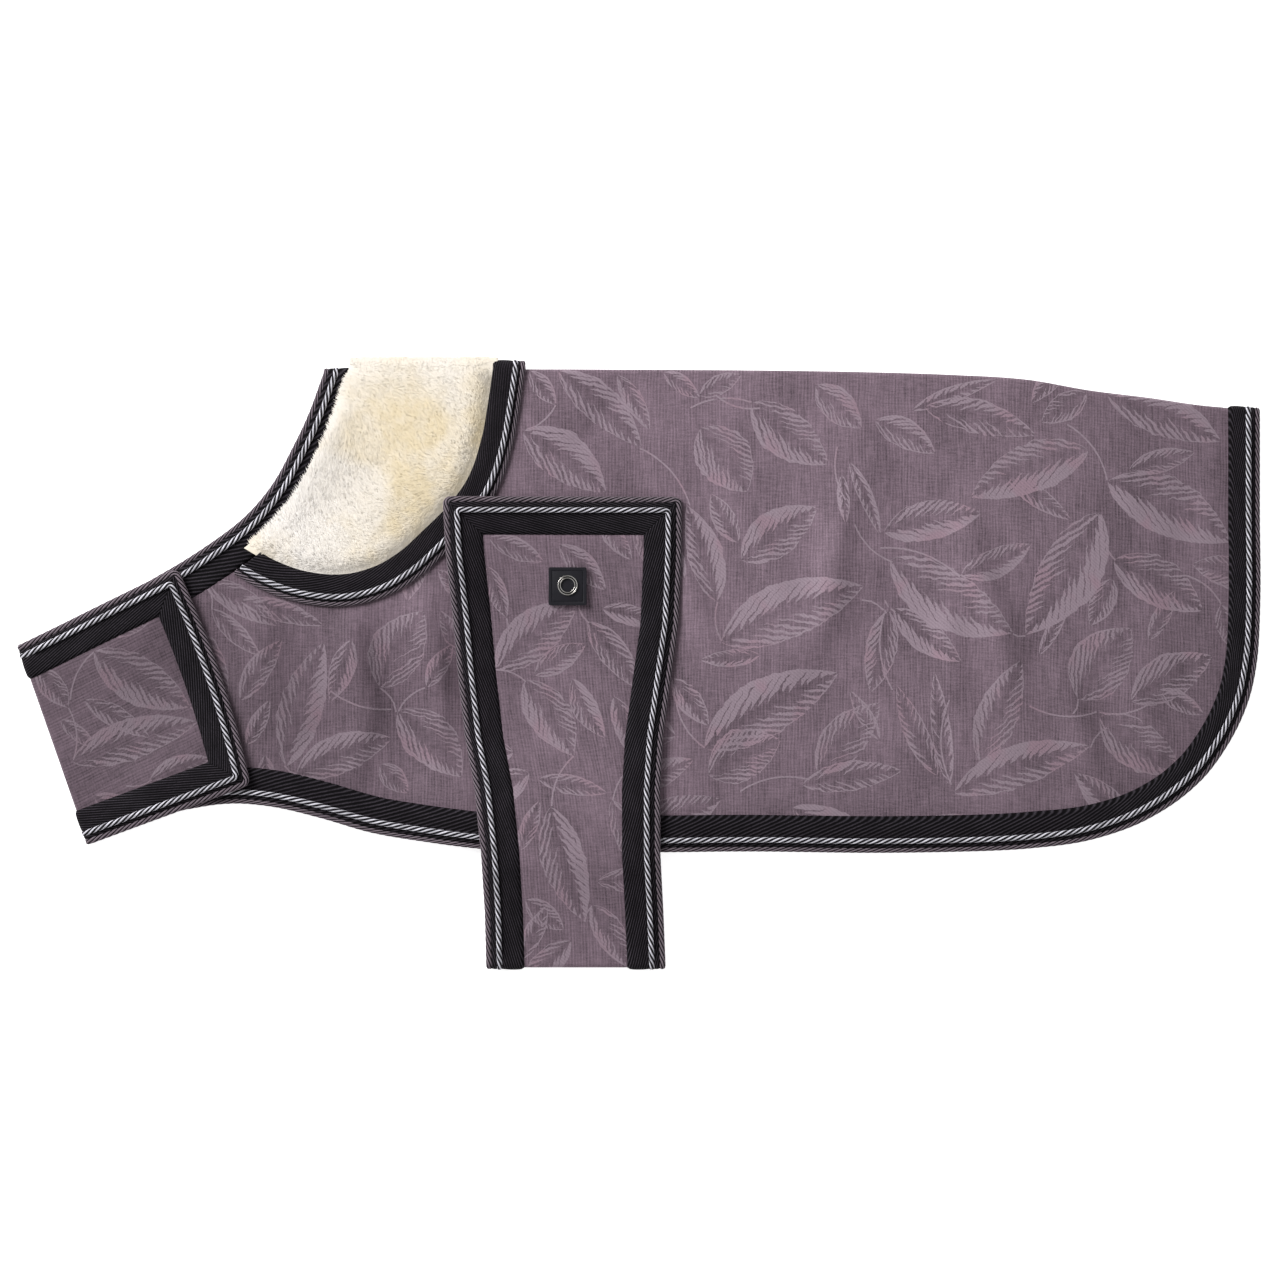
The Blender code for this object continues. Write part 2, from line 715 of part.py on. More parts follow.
def strap_stops(length, step, tape_inner):
    """Distances from the fold to the free end, with the binding's two lines at the end."""
    inner = length - tape_inner
    count = max(2, round(inner / step))
    return [inner * k / count for k in range(count + 1)] + [length - STRAP_TAPE_OUTER]


LOWER_INNER = FLOOR_CLEAR + TAPE_STEP + CLOTH
UPPER_INNER = LOWER_INNER + GAP


def belly_strap():
    def row_at(y):
        left = Vector((belly_side(y, "left"), y))
        right = Vector((belly_side(y, "right"), y))
        return across_points(left, right, BELLY_TAPE_INNER)

    sewn = far_under(Vector((PATCH_AT.x, HEM_Y + TAPE_OUTER))) + 2 * CLOTH + GAP + TAPE_STEP
    rise_length = HEM_Y - BELLY_LEVEL_FROM_HEM - BELLY_FOLD

    def lower_height(p):
        return LOWER_INNER + (sewn - LOWER_INNER) * ease((p.y - BELLY_FOLD) / rise_length)

    ground = Ground(UNDER_BELLY_STRAP)

    def upper_height(p):
        if p.y < BELLY_FOLD + 1.0:
            return UPPER_INNER
        resting = ground.highest(p, DRAPE_REACH)
        if p.y < HEM_Y + DRAPE_REACH:
            resting = max(resting, lower_height(p))
        return resting + GAP

    lower_length = BELLY_SEWN_END - BELLY_FOLD
    lower_count = round(lower_length / BELLY_ROW)
    lower_y = [BELLY_SEWN_END - lower_length * k / lower_count for k in range(lower_count + 1)]
    upper_y = [BELLY_FOLD + s for s in strap_stops(BELLY_TOP - BELLY_FOLD, BELLY_ROW, BELLY_TAPE_INNER)]
    lower = [[(p, lower_height(p)) for p in row_at(y)] for y in lower_y]
    plan = [row_at(y) for y in upper_y]
    pull_in_corners(plan[-1], plan[-2])
    upper = draped([[(p, upper_height(p)) for p in row] for row in plan])
    surface = strap_surface((lower, upper), Vector((0.0, -1.0, 0.0)))
    wall_object("belly_strap", surface.faces, surface.outer, surface.inner, CLOTH_FINISH)
    binding("belly_strap", surface, BELLY_TAPE_INNER, BELLY_SILVER_CENTRE, STRAP_CORD_WIDTH)
    return surface


def chest_strap():
    fold = [Vector(s) for s in CHEST_FOLD]
    end = [Vector(s) for s in CHEST_END]
    seam = [Vector(NECK_LINE[0]), Vector(HEM_LINE[0])]
    way = (fold[1] - fold[0]).normalized()
    out = Vector((way.y, -way.x))
    if out.x > 0:
        out = -out
    seam = [p + out * GAP for p in seam]

    def plan_row(line, share, bulge=0.0):
        left, right = fold[0].lerp(line[0], share), fold[1].lerp(line[1], share)
        row = across_points(left, right, CHEST_TAPE_INNER)
        width = (right - left).length
        across = [(p - left).length / width for p in row]
        return [p - out * (bulge * share * 4 * t * (1 - t)) for p, t in zip(row, across)]

    ground = Ground(UNDER_CHEST_STRAP)

    def upper_height(p):
        if abs((p - fold[0]).dot(out)) < 1.0:
            return UPPER_INNER
        return max(ground.highest(p, DRAPE_REACH), LOWER_INNER) + GAP

    length = ((end[0] - fold[0]).length + (end[1] - fold[1]).length) / 2
    stops = strap_stops(length, CHEST_ROW, CHEST_TAPE_INNER)
    plan = [plan_row(end, s / length, CHEST_END_BULGE) for s in stops]
    pull_in_corners(plan[-1], plan[-2])
    upper = draped([[(p, upper_height(p)) for p in row] for row in plan])
    shares = [1 - k / CHEST_LOWER_ROWS for k in range(CHEST_LOWER_ROWS + 1)]
    lower = [[(p, LOWER_INNER) for p in plan_row(seam, share)] for share in shares]
    surface = strap_surface((lower, upper), Vector((out.x, out.y, 0.0)))
    wall_object("chest_strap", surface.faces, surface.outer, surface.inner, CLOTH_FINISH)
    binding("chest_strap", surface, CHEST_TAPE_INNER, CHEST_SILVER_CENTRE, STRAP_CORD_WIDTH)


# The pile collar


def collar_surface():
    """Rows from the far tip round the spine to the near tip, from the neck side to the bound side."""
    outer_line = offset(COLLAR_LINE, -TAPE_OUTER, Vector((1.0, 0.0)))
    inner_line = offset(COLLAR_LINE, -COLLAR_TAPE_INNER, Vector((1.0, 0.0)))
    fine_neck = smooth_line(NECK_EDGE, FINE_SPACING)
    neck_tape = offset(fine_neck, -(TAPE_INNER + 2 * GAP))
    fleece_line = offset(fine_neck, COLLAR_FLEECE_OVER_TAPE - TAPE_INNER, None, Vector((-1.0, 0.0)))
    outer_end = min(neck_tape, key=lambda p: (p - outer_line[-1]).length)
    inner_end = min(neck_tape, key=lambda p: (p - inner_line[-1]).length)
    outer_line[-1], inner_line[-1] = outer_end, inner_end
    tip = min(range(len(fleece_line)), key=lambda i: (fleece_line[i] - inner_end).length)
    neck_side = fleece_line[tip:]
    neck_length = sum((b - a).length for a, b in zip(neck_side, neck_side[1:]))
    neck_side = evenly(neck_side, neck_length / (len(outer_line) - 1))[::-1]
    for line in (outer_line, inner_line, neck_side):
        line[0] = Vector((line[0].x, spine_y(line[0].x)))

    ground = Ground(["body_panel"])
    surface = Surface()
    halves = []
    for near in (True, False):
        half = []
        for a, q, p in zip(neck_side, inner_line, outer_line):
            length = (q - a).length
            shoulder = min(COLLAR_SHOULDER, length * COLLAR_SHOULDER_SHARE)
            stops = [0.0, shoulder, *[length * t for t in COLLAR_MIDDLE], length - shoulder, length]
            row = []
            for stop, pile in zip(stops, COLLAR_PILE):
                row.append(collar_vertex(surface, a.lerp(q, stop / length), pile, near, ground))
            row.append(collar_vertex(surface, p, 0.0, near, ground))
            half.append(row)
        halves.append(half)
    near, far = halves
    folds = [surface.fold(n, f, Vector((0.0, 1.0, 0.0))) for n, f in zip(near[0], far[0])]
    bend = [list(row) for row in zip(*folds)][1:-1][::-1]
    grid = [*reversed(far), *bend, *near]
    for first, second in zip(grid, grid[1:]):
        for c in range(len(first) - 1):
            pair = [(first[c], first[c + 1], second[c + 1]), (first[c], second[c + 1], second[c])]
            surface.faces.extend(pair)
            if c == len(first) - 2:
                surface.band.extend(pair)
    hidden = len(far) + len(bend)
    surface.rungs = [(row[-1], row[-2], r >= hidden - 1) for r, row in enumerate(grid)]
    return surface


def collar_vertex(surface, p, pile, near, ground):
    """A collar vertex seated on the body panel or on the neck tape."""
    step = TAPE_STEP * plateau(distance_to(p, NECK_LINE), COLLAR_STEP_HOLD, COLLAR_STEP_FALL)
    if near:
        inner = ground.highest(p, COLLAR_REACH) + GAP + step
        outer = inner + COLLAR_CLOTH + (NEAR_PILE - COLLAR_CLOTH) * pile
    else:
        inner = ground.lowest(p, COLLAR_REACH) - GAP - step
        outer = inner - COLLAR_CLOTH - (inner - COLLAR_CLOTH) * pile
    return surface.add(at_height(p, outer), at_height(p, inner))


def collar():
    surface = collar_surface()
    wall_object("collar_fleece", surface.faces, surface.outer, surface.inner, FLEECE_FINISH)
    binding("collar", surface, COLLAR_TAPE_INNER, COLLAR_SILVER_CENTRE)


# The patch and its ring


def patch_height(surface):
    """The strap's highest outer point near the patch."""
    reach = PATCH_SIDE
    return max(
        v.z for v in surface.outer
        if abs(v.x - PATCH_AT.x) < reach and abs(v.y - PATCH_AT.y) < reach
    )


def patch(surface):
    base = patch_height(surface) + GAP
    mesh = bmesh.new()
    bmesh.ops.create_cube(mesh, size=1.0)
    centre = Vector((PATCH_AT.x, PATCH_AT.y, base + PATCH_THICK / 2))
    for v in mesh.verts:
        v.co = to_world(centre + Vector((v.co.x * PATCH_SIDE, v.co.y * PATCH_SIDE, v.co.z * PATCH_THICK)))
    top = [e for e in mesh.edges if all(v.co.z > centre.z * MM for v in e.verts)]
    bmesh.ops.bevel(mesh, geom=top, offset=PATCH_ROUND * MM, segments=2, affect="EDGES", profile=0.5)
    finished("patch", mesh, PATCH_FINISH)
    ring(base + PATCH_THICK + GAP)


def ring(base):
    """A flat polished ring with rounded top edges, turned from its section."""
    side = RING_THICK - RING_ROUND
    section = [
        (RING_INNER, 0.0), (RING_OUTER, 0.0), (RING_OUTER, side),
        (RING_OUTER - RING_ROUND, RING_THICK), (RING_INNER + RING_ROUND, RING_THICK), (RING_INNER, side),
    ]
    mesh = bmesh.new()
    centre = Vector((PATCH_AT.x, PATCH_AT.y + RING_UP, base))
    loops = []
    for k in range(RING_SIDES):
        turn = 2 * math.pi * k / RING_SIDES
        way = Vector((math.cos(turn), math.sin(turn), 0.0))
        loops.append([
            mesh.verts.new(to_world(centre + way * r + Vector((0.0, 0.0, z)))) for r, z in section
        ])
    for k in range(RING_SIDES):
        first, second = loops[k], loops[(k + 1) % RING_SIDES]
        for i in range(len(section)):
            j = (i + 1) % len(section)
            mesh.faces.new((first[i], first[j], second[j], second[i]))
    finished("patch_ring", mesh, METAL_FINISH)


def main():
    clear_scene()
    body()
    collar()
    chest_strap()
    patch(belly_strap())
    move = Matrix.Translation(Vector((*PLAN_SHIFT, 0.0)) * MM)
    for thing in bpy.data.objects:
        thing.data.transform(move)


main()
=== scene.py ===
"""Dog winter coat folded at the spine and laid flat: jacquard cloth, pile collar, bound edges."""

import math

import bpy
import numpy as np
from bpy.props import FloatProperty, FloatVectorProperty, IntProperty, PointerProperty
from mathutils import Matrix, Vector
from mathutils.bvhtree import BVHTree


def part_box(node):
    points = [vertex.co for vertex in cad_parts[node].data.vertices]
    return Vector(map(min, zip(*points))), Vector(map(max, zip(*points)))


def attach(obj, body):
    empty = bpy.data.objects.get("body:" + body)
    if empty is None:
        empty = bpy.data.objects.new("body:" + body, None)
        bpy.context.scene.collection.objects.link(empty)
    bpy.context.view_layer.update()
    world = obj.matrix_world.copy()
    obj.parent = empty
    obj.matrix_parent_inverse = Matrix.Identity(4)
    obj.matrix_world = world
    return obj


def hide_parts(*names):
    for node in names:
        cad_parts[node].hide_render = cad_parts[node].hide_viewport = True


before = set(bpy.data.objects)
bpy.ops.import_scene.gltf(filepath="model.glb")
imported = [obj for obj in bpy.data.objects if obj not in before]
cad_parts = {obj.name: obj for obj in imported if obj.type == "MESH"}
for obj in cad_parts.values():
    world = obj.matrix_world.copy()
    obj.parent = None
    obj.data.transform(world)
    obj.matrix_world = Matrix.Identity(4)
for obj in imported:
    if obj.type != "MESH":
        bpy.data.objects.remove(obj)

bl_info = {
    "name": "Dog winter coat",
    "version": (1, 0, 0),
    "blender": (4, 5, 0),
    "location": "View3D > Sidebar > Coat",
    "description": "Builds the cloth, pile, binding and piping of a folded dog coat",
    "category": "Add Mesh",
}

MM = 0.001
PLAN_SHIFT = np.array((0.10, 0.98))

# Plan tables in millimetres, as in the part's source

NECK_EDGE = (
    (-318.0, 37.0), (-293.4, 49.7), (-257.4, 71.7), (-235.8, 88.5), (-221.4, 105.3),
    (-207.0, 131.1), (-199.8, 146.1), (-189.6, 173.4),
)
HEM_EDGE = (
    (-290.0, -92.9), (-271.8, -88.5), (-243.0, -84.9), (-221.4, -86.7), (-192.6, -93.3),
    (-161.4, -102.3), (-125.4, -108.3), (-90.0, -112.4), (-50.0, -113.7), (60.0, -113.7),
    (198.6, -113.7), (234.6, -111.9), (272.4, -106.5), (305.4, -94.5), (338.4, -70.5),
    (355.8, -46.5), (366.6, -22.5), (371.6, 1.5), (373.2, 27.0), (373.2, 90.0), (373.2, 149.8),
)
SPINE = (
    (-200.0, 173.4), (-69.0, 173.7), (40.0, 173.6), (126.6, 172.5), (190.0, 170.6),
    (234.6, 167.7), (270.6, 161.4), (306.6, 156.9), (342.6, 151.8), (380.0, 149.7),
)
COLLAR_EDGE = (
    (-68.4, 173.7), (-71.4, 152.7), (-75.6, 129.9), (-85.8, 101.1), (-98.4, 83.1),
    (-115.8, 65.5), (-132.0, 50.9), (-149.4, 40.5), (-173.4, 33.9), (-203.4, 35.7),
    (-227.4, 44.1), (-245.4, 54.6),
)
CHEST_FOLD = ((-371.1, 11.4), (-328.8, -108.9))
CHEST_END = ((-276.6, 57.3), (-232.8, -73.5))
CHEST_END_BULGE = 4.0
BELLY_WIDTHS = (
    (-190.0, -91.8, 16.4), (-150.9, -92.7, 14.8), (-113.7, -94.8, 12.9), (-75.9, -98.7, 12.9),
    (-44.1, -104.7, 14.8), (-6.9, -108.9, 19.8), (23.7, -111.5, 24.0), (66.3, -115.9, 25.8),
    (105.0, -118.0, 26.0),
)
BELLY_TOP = 99.7
BELLY_FOLD = -181.0
BELLY_SEWN_END = -88.0
PATCH_AT = (-42.8, 45.7)
RING_UP = 0.6
RING_GROOVE = 0.0049

# Binding, measured inwards from the outside of the edge cord
EDGE_CORD = 3.6
STRAP_CORD = 4.2
GAP = 0.3
# How far a tape's outer edge is tucked under its edge piping, mm
TUCK = 0.7
TAPE_INNER = 22.2
TAIL_TAPE_INNER = 19.2
COLLAR_TAPE_INNER = 19.4
BELLY_TAPE_INNER = 23.1
CHEST_TAPE_INNER = 21.8
SILVER_AT = 7.2
COLLAR_SILVER_AT = 6.0
BELLY_SILVER_AT = 8.3
CHEST_SILVER_AT = 7.3
TAIL_START = 230.0
TAIL_EASE = 100.0
SPINE_OUT = (0.0, 1.0, 0.0)
# The collar: how far its trim lies on the panel, how far it passes the spine, how wide its pile
# lies on the neck's tape, and what its tape keeps clear of that tape, mm
COLLAR_SEAT = 1.8
COLLAR_RISE = 2.6
PILE_OVER_TAPE = 7.8
TAPE_CLEAR = 0.4

# Points on each stretch of a smooth line, rows of points round a fold, points handled at once
CURVE_STEPS = 24
FOLD_ROWS = 7
BLOCK = 4096
# How far the edge lines go on past their ends, mm, and in how many steps
EDGE_BEYOND = 34.0
BEYOND_STEPS = 12
# The woven leaves. Base, tip, width across, fullness of the filled side, which side of the way from
# base to tip is filled (1 left, -1 right) and the midrib's bulge to the left, in the chart's units:
# CHART_UNIT millimetres to the right of and below its corner

CHART_UNIT = 0.6
CHART_CORNER = np.array((-383.4, 397.5))
BODY_LEAVES = (
    (701, 428, 748, 492, 56, 0.55, -1, 2), (752, 403, 829, 464, 48, 0.75, -1, -3),
    (817, 385, 862, 428, 34, 0.8, 1, 0), (876, 420, 936, 453, 30, 0.7, 1, 3),
    (926, 407, 1037, 435, 34, 0.4, 1, 4), (913, 410, 999, 379, 16, 0.6, 1, 2),
    (1089, 450, 971, 497, 50, 1.0, 1, -5), (1087, 393, 1042, 422, 28, 0.3, 1, 0),
    (1109, 395, 1222, 441, 45, 1.0, 1, 4), (1109, 481, 1232, 542, 58, 1.0, -1, 4),
    (885, 532, 982, 513, 40, 1.0, -1, 3), (850, 462, 881, 536, 15, 0.8, 1, 2),
    (842, 475, 846, 524, 13, 1.0, -1, 0), (962, 575, 1032, 544, 30, 0.9, -1, -3),
    (891, 560, 1013, 633, 60, 1.0, -1, -6), (1101, 513, 1026, 635, 62, 1.0, 1, 6),
    (1115, 560, 1204, 611, 48, 0.6, -1, 3), (1113, 579, 1091, 626, 26, 0.6, 1, 1),
    (742, 560, 818, 507, 46, 1.0, 1, 3), (738, 542, 711, 493, 24, 0.5, 1, 1),
    (717, 601, 687, 505, 36, 1.0, -1, -3), (722, 642, 864, 586, 58, 1.0, 1, 6),
    (705, 748, 839, 673, 58, 1.0, 1, 6), (889, 611, 871, 693, 32, 0.5, -1, 1),
    (895, 609, 962, 662, 32, 1.0, -1, -2), (818, 773, 881, 703, 44, 0.3, 1, 3),
    (803, 785, 903, 771, 30, 0.3, 1, 2), (709, 775, 781, 740, 52, 0.4, 1, 4),
    (938, 776, 897, 685, 24, 0.3, 1, 2), (950, 785, 935, 671, 20, 0.3, -1, 1),
    (981, 762, 1022, 660, 42, 0.55, 1, 2), (955, 793, 1091, 746, 42, 1.0, 1, 5),
    (1079, 699, 1132, 628, 60, 0.5, 1, 4), (1132, 701, 1213, 656, 45, 0.5, 1, 3),
    (1101, 717, 1183, 773, 48, 0.5, -1, -3), (673, 679, 709, 726, 25, 0.7, -1, 0),
    (1222, 605, 1235, 650, 22, 0.7, 1, 0), (1160, 690, 1205, 715, 20, 0.7, 1, 0),
    (559, 371, 642, 447, 38, 0.6, 1, 4), (524, 431, 606, 492, 48, 1.0, 1, 4),
    (618, 375, 650, 430, 20, 0.8, -1, 1), (530, 371, 556, 405, 20, 0.6, 1, 0),
    (664, 372, 700, 398, 18, 0.6, 1, 1), (700, 395, 742, 374, 20, 0.4, 1, 1),
    (1130, 470, 1196, 452, 24, 0.5, 1, 1), (1150, 390, 1228, 398, 22, 0.4, 1, 2),
    (204, 581, 278, 626, 28, 0.7, -1, 2), (212, 609, 261, 656, 20, 0.5, 1, -1),
    (241, 601, 324, 626, 22, 0.5, 1, 2), (286, 766, 324, 642, 44, 0.9, -1, 3),
    (380, 687, 424, 611, 54, 0.4, 1, 4), (296, 775, 392, 738, 40, 0.7, 1, 4),
    (398, 711, 462, 777, 50, 0.5, -1, 3), (427, 687, 453, 644, 20, 0.6, 1, 1),
    (352, 640, 330, 702, 26, 0.7, 1, 1), (470, 600, 438, 570, 20, 0.6, 1, 0),
    (466, 660, 440, 610, 20, 0.5, -1, 0), (240, 700, 282, 640, 26, 0.5, 1, 2),
    (246, 745, 270, 700, 18, 0.8, 1, 0), (380, 765, 408, 793, 24, 0.5, 1, 0),
    (1010, 480, 1072, 520, 20, 0.4, -1, 1), (760, 655, 700, 660, 18, 0.5, 1, 1),
    (1040, 655, 1072, 600, 14, 0.6, 1, 1), (880, 740, 850, 690, 16, 0.6, -1, 0),
    (1150, 640, 1176, 590, 18, 0.5, 1, 0),
)
BODY_STEMS = (
    ((690, 408), (752, 402)), ((716, 395), (760, 408)), ((846, 500), (838, 446)),
    ((855, 524), (893, 562)), ((880, 548), (960, 577)), ((885, 600), (896, 612)),
    ((893, 690), (886, 610)), ((1030, 706), (1098, 712)), ((1079, 699), (1072, 716)),
    ((1098, 712), (1150, 704)), ((1091, 748), (1108, 728)), ((950, 700), (952, 785)),
    ((1068, 424), (1108, 480)), ((1100, 514), (1116, 560)), ((640, 448), (690, 505)),
    ((718, 602), (722, 641)), ((705, 748), (676, 700)), ((810, 780), (740, 792)),
    ((556, 405), (526, 430)), ((330, 691), (402, 708)), ((380, 688), (396, 712)),
    ((284, 766), (297, 775)), ((204, 580), (212, 610)), ((425, 688), (398, 712)),
    ((862, 600), (884, 610)), ((1013, 634), (1026, 636)), ((1185, 575), (1222, 604)),
)
FLAP_LEAVES = (
    (94, 652, 190, 707, 48, 0.8, -1, -3), (72, 762, 198, 722, 42, 0.8, 1, 4),
    (36, 669, 68, 708, 26, 0.5, -1, 1), (84, 700, 150, 738, 22, 0.5, -1, 1),
    (150, 782, 210, 758, 26, 0.7, 1, 2), (172, 640, 204, 668, 18, 0.6, 1, 0),
    (60, 720, 96, 748, 16, 0.5, 1, 0), (108, 634, 150, 622, 18, 0.4, 1, 1),
)
FLAP_STEMS = (
    ((68, 708), (73, 760)), ((94, 652), (70, 700)), ((190, 707), (212, 742)),
    ((126, 786), (152, 780)),
)
BELLY_LEAVES = (
    (496, 669, 578, 601, 48, 0.9, 1, 3), (488, 567, 507, 618, 20, 0.6, 1, 0),
    (535, 675, 586, 644, 26, 0.6, -1, 1), (588, 622, 640, 690, 30, 0.4, 1, 2),
    (525, 681, 574, 756, 44, 0.8, -1, 2), (551, 807, 585, 922, 44, 0.9, 1, -3),
    (539, 779, 608, 793, 20, 0.4, 1, 1), (592, 905, 630, 969, 30, 0.6, -1, 1),
    (526, 900, 564, 930, 24, 0.5, 1, 0), (490, 538, 544, 562, 22, 0.5, 1, 1),
    (614, 697, 638, 762, 24, 0.7, -1, 1), (560, 545, 606, 590, 26, 0.6, 1, 1),
    (520, 960, 548, 905, 20, 0.5, 1, 0), (612, 800, 640, 870, 26, 0.7, 1, 1),
    (520, 850, 540, 800, 18, 0.6, 1, 0), (600, 520, 632, 560, 20, 0.5, -1, 0),
)
BELLY_STEMS = (
    ((494, 670), (526, 682)), ((574, 756), (552, 806)), ((585, 922), (592, 906)),
    ((578, 601), (589, 623)), ((507, 618), (497, 668)), ((638, 762), (613, 800)),
)
# The scattered leaves: how often one is tried, their lengths, half widths by length, fullness,
# bulge, and the least gap between two, mm
LEAF_TRIES = 2600
LEAF_LENGTHS = (34.0, 72.0)
LEAF_HALVES = (0.17, 0.25)
LEAF_FULLNESS = (0.4, 0.7, 1.0)
LEAF_BULGE = 3.0
LEAF_GAP = 2.5
# A leaf's half width along its length: a factor, and the powers towards its base and its tip
LEAF_SHAPE = (3.15, 0.74, 0.92)
# How far from a leaf or a stem the cloth's faces still know it, mm
LEAF_REACH = 5.0
# A stem is a plain arc between its two ends, bent to one side and the other by turns
STEM_BEND = 0.11
STEM_STEP = 4.0
STEM_HALF = 0.48


class ClothSettings(bpy.types.PropertyGroup):
    thickness: FloatProperty(
        name="Cloth thickness", description="Thickness of the padded cloth",
        default=0.0019, unit="LENGTH")
    grid: FloatProperty(
        name="Cloth grid", description="Distance between the cloth's vertices",
        default=0.0038, unit="LENGTH")
    crease: FloatProperty(
        name="Crease depth", description="Share of the full depth of the soft creases",
        default=1.0, subtype="FACTOR")
    ground: FloatVectorProperty(
        name="Cloth ground", description="Colour of the woven ground", size=3, subtype="COLOR",
        default=(0.172, 0.122, 0.153))
    leaf: FloatVectorProperty(
        name="Leaf colour", description="Colour of the woven leaves", size=3, subtype="COLOR",
        default=(0.330, 0.254, 0.303))


class TrimSettings(bpy.types.PropertyGroup):
    tape_thickness: FloatProperty(
        name="Tape thickness", description="Thickness of the twill tape",
        default=0.001, unit="LENGTH")
    stitch: FloatProperty(
        name="Stitch length", description="Distance between the stitches of the tape's inner edge",
        default=0.0048, unit="LENGTH")
    silver_width: FloatProperty(
        name="Silver piping width", description="Width of the silver twisted piping",
        default=0.0034, unit="LENGTH")
    silver_lay: FloatProperty(
        name="Silver piping lay", description="Length of one whole turn of a strand",
        default=0.0200, unit="LENGTH")
    tape: FloatVectorProperty(
        name="Tape colour", description="Colour of the twill tape", size=3, subtype="COLOR",
        default=(0.0066, 0.0056, 0.0070))
    silver: FloatVectorProperty(
        name="Silver colour", description="Colour of the light strands", size=3, subtype="COLOR",
        default=(0.93, 0.91, 1.00))
    grey: FloatVectorProperty(
        name="Edge piping colour", description="Colour of the edge piping", size=3, subtype="COLOR",
        default=(0.285, 0.230, 0.268))


class PileSettings(bpy.types.PropertyGroup):
    tufts: IntProperty(
        name="Tufts", description="Number of tufts of the collar's pile", default=44000, min=100)
    length: FloatProperty(
        name="Tuft length", description="Mean length of a tuft", default=0.0066, unit="LENGTH")
    colour: FloatVectorProperty(
        name="Pile colour", description="Colour of the pile's tips", size=3, subtype="COLOR",
        default=(0.625, 0.540, 0.386))


class StageSettings(bpy.types.PropertyGroup):
    camera_height: FloatProperty(
        name="Camera height", description="Height of the camera above the floor",
        default=3.0, unit="LENGTH")
    frame_width: FloatProperty(
        name="Frame width", description="Width of the floor that the camera sees",
        default=0.768, unit="LENGTH")
    floor: FloatVectorProperty(
        name="Floor colour", description="Colour of the floor", size=3, subtype="COLOR",
        default=(0.95, 0.95, 0.95))


# Lines in plan


def norms(vectors):
    return np.linalg.norm(vectors, axis=-1, keepdims=True)


def smooth_line(spots, spacing):
    """Evenly spaced points on a smooth curve through the spots."""
    p = np.array(spots, float) + PLAN_SHIFT
    p = np.vstack([2 * p[:1] - p[1:2], p, 2 * p[-1:] - p[-2:-1]])
    a, b, c, d = p[:-3], p[1:-2], p[2:-1], p[3:]
    before, span, after = norms(b - a), norms(c - b), norms(d - c)
    out = ((c - b) * before + (b - a) * span) * span / ((before + span) * before)
    into = ((d - c) * span + (c - b) * after) * span / ((span + after) * after)
    t = (np.arange(CURVE_STEPS) / CURVE_STEPS)[None, :, None]
    b, c, out, into = (v[:, None] for v in (b, c, out, into))
    fine = (b * (2 * t**3 - 3 * t**2 + 1) + out * (t**3 - 2 * t**2 + t)
            + c * (3 * t**2 - 2 * t**3) + into * (t**3 - t**2)).reshape(-1, 2)
    return evenly(np.vstack([fine, p[-2:-1]]), spacing=spacing)


def distances(line):
    return np.concatenate([[0.0], np.cumsum(norms(np.diff(line, axis=0))[:, 0])])


def evenly(line, spacing=None, count=None):
    """The line again with evenly spaced points."""
    along = distances(line)
    if count is None:
        count = max(2, round(along[-1] / spacing) + 1)
    stops = np.linspace(0.0, along[-1], count)
    return np.stack([np.interp(stops, along, line[:, k]) for k in range(line.shape[1])], 1)


def extended(line, length):
    """The line with a straight stretch added at both ends."""
    first = (line[0] - line[1]) / norms(line[0] - line[1])
    last = (line[-1] - line[-2]) / norms(line[-1] - line[-2])
    steps = length * np.linspace(0.0, 1.0, BEYOND_STEPS)[1:, None]
    return np.vstack([(line[0] + first * steps)[::-1], line, line[-1] + last * steps])


def offset(line, inwards):
    """The line moved to its left, by one distance or by one for each point."""
    along = np.gradient(line, axis=0)
    way = np.stack([-along[:, 1], along[:, 0]], 1) / norms(along)
    return line + way * np.reshape(inwards, (-1, 1))


def nearest(points, line):
    """Signed distance to a line, positive on its left, and the nearest points on it."""
    points = np.asarray(points, float)
    flat = points.reshape(-1, 2)
    a, b = line[:-1], line[1:]
    ab = b - a
    length = (ab**2).sum(1)
    signed = np.empty(len(flat))
    spots = np.empty_like(flat)
    for start in range(0, len(flat), BLOCK):
        p = flat[start:start + BLOCK, None]
        t = np.clip(((p - a) * ab).sum(2) / length, 0.0, 1.0)
        foot = a + ab * t[..., None]
        gap = ((p - foot) ** 2).sum(2)
        best = gap.argmin(1)
        rows = np.arange(len(best))
        spot = foot[rows, best]
        delta = p[:, 0] - spot
        side = ab[best, 0] * delta[:, 1] - ab[best, 1] * delta[:, 0]
        signed[start:start + BLOCK] = np.sqrt(gap[rows, best]) * np.where(side < 0, -1.0, 1.0)
        spots[start:start + BLOCK] = spot
    return signed.reshape(points.shape[:-1]), spots.reshape(points.shape)


def ease(t):
    """0 up to 0, 1 from 1, smooth between."""
    t = np.clip(t, 0.0, 1.0)
    return t * t * (3 - 2 * t)


SPINE_LINE = smooth_line(SPINE, 4.0)


def spine_y(x):
    """Where the spine fold begins at this length."""
    return np.interp(x, SPINE_LINE[:, 0], SPINE_LINE[:, 1])


NECK_LINE = smooth_line(NECK_EDGE, 2.0)
HEM_LINE = smooth_line(HEM_EDGE, 2.0)
COLLAR_LINE = smooth_line(COLLAR_EDGE, 2.0)
HEM_LONG, NECK_LONG, COLLAR_LONG = (
    extended(line, EDGE_BEYOND) for line in (HEM_LINE, NECK_LINE, COLLAR_LINE))
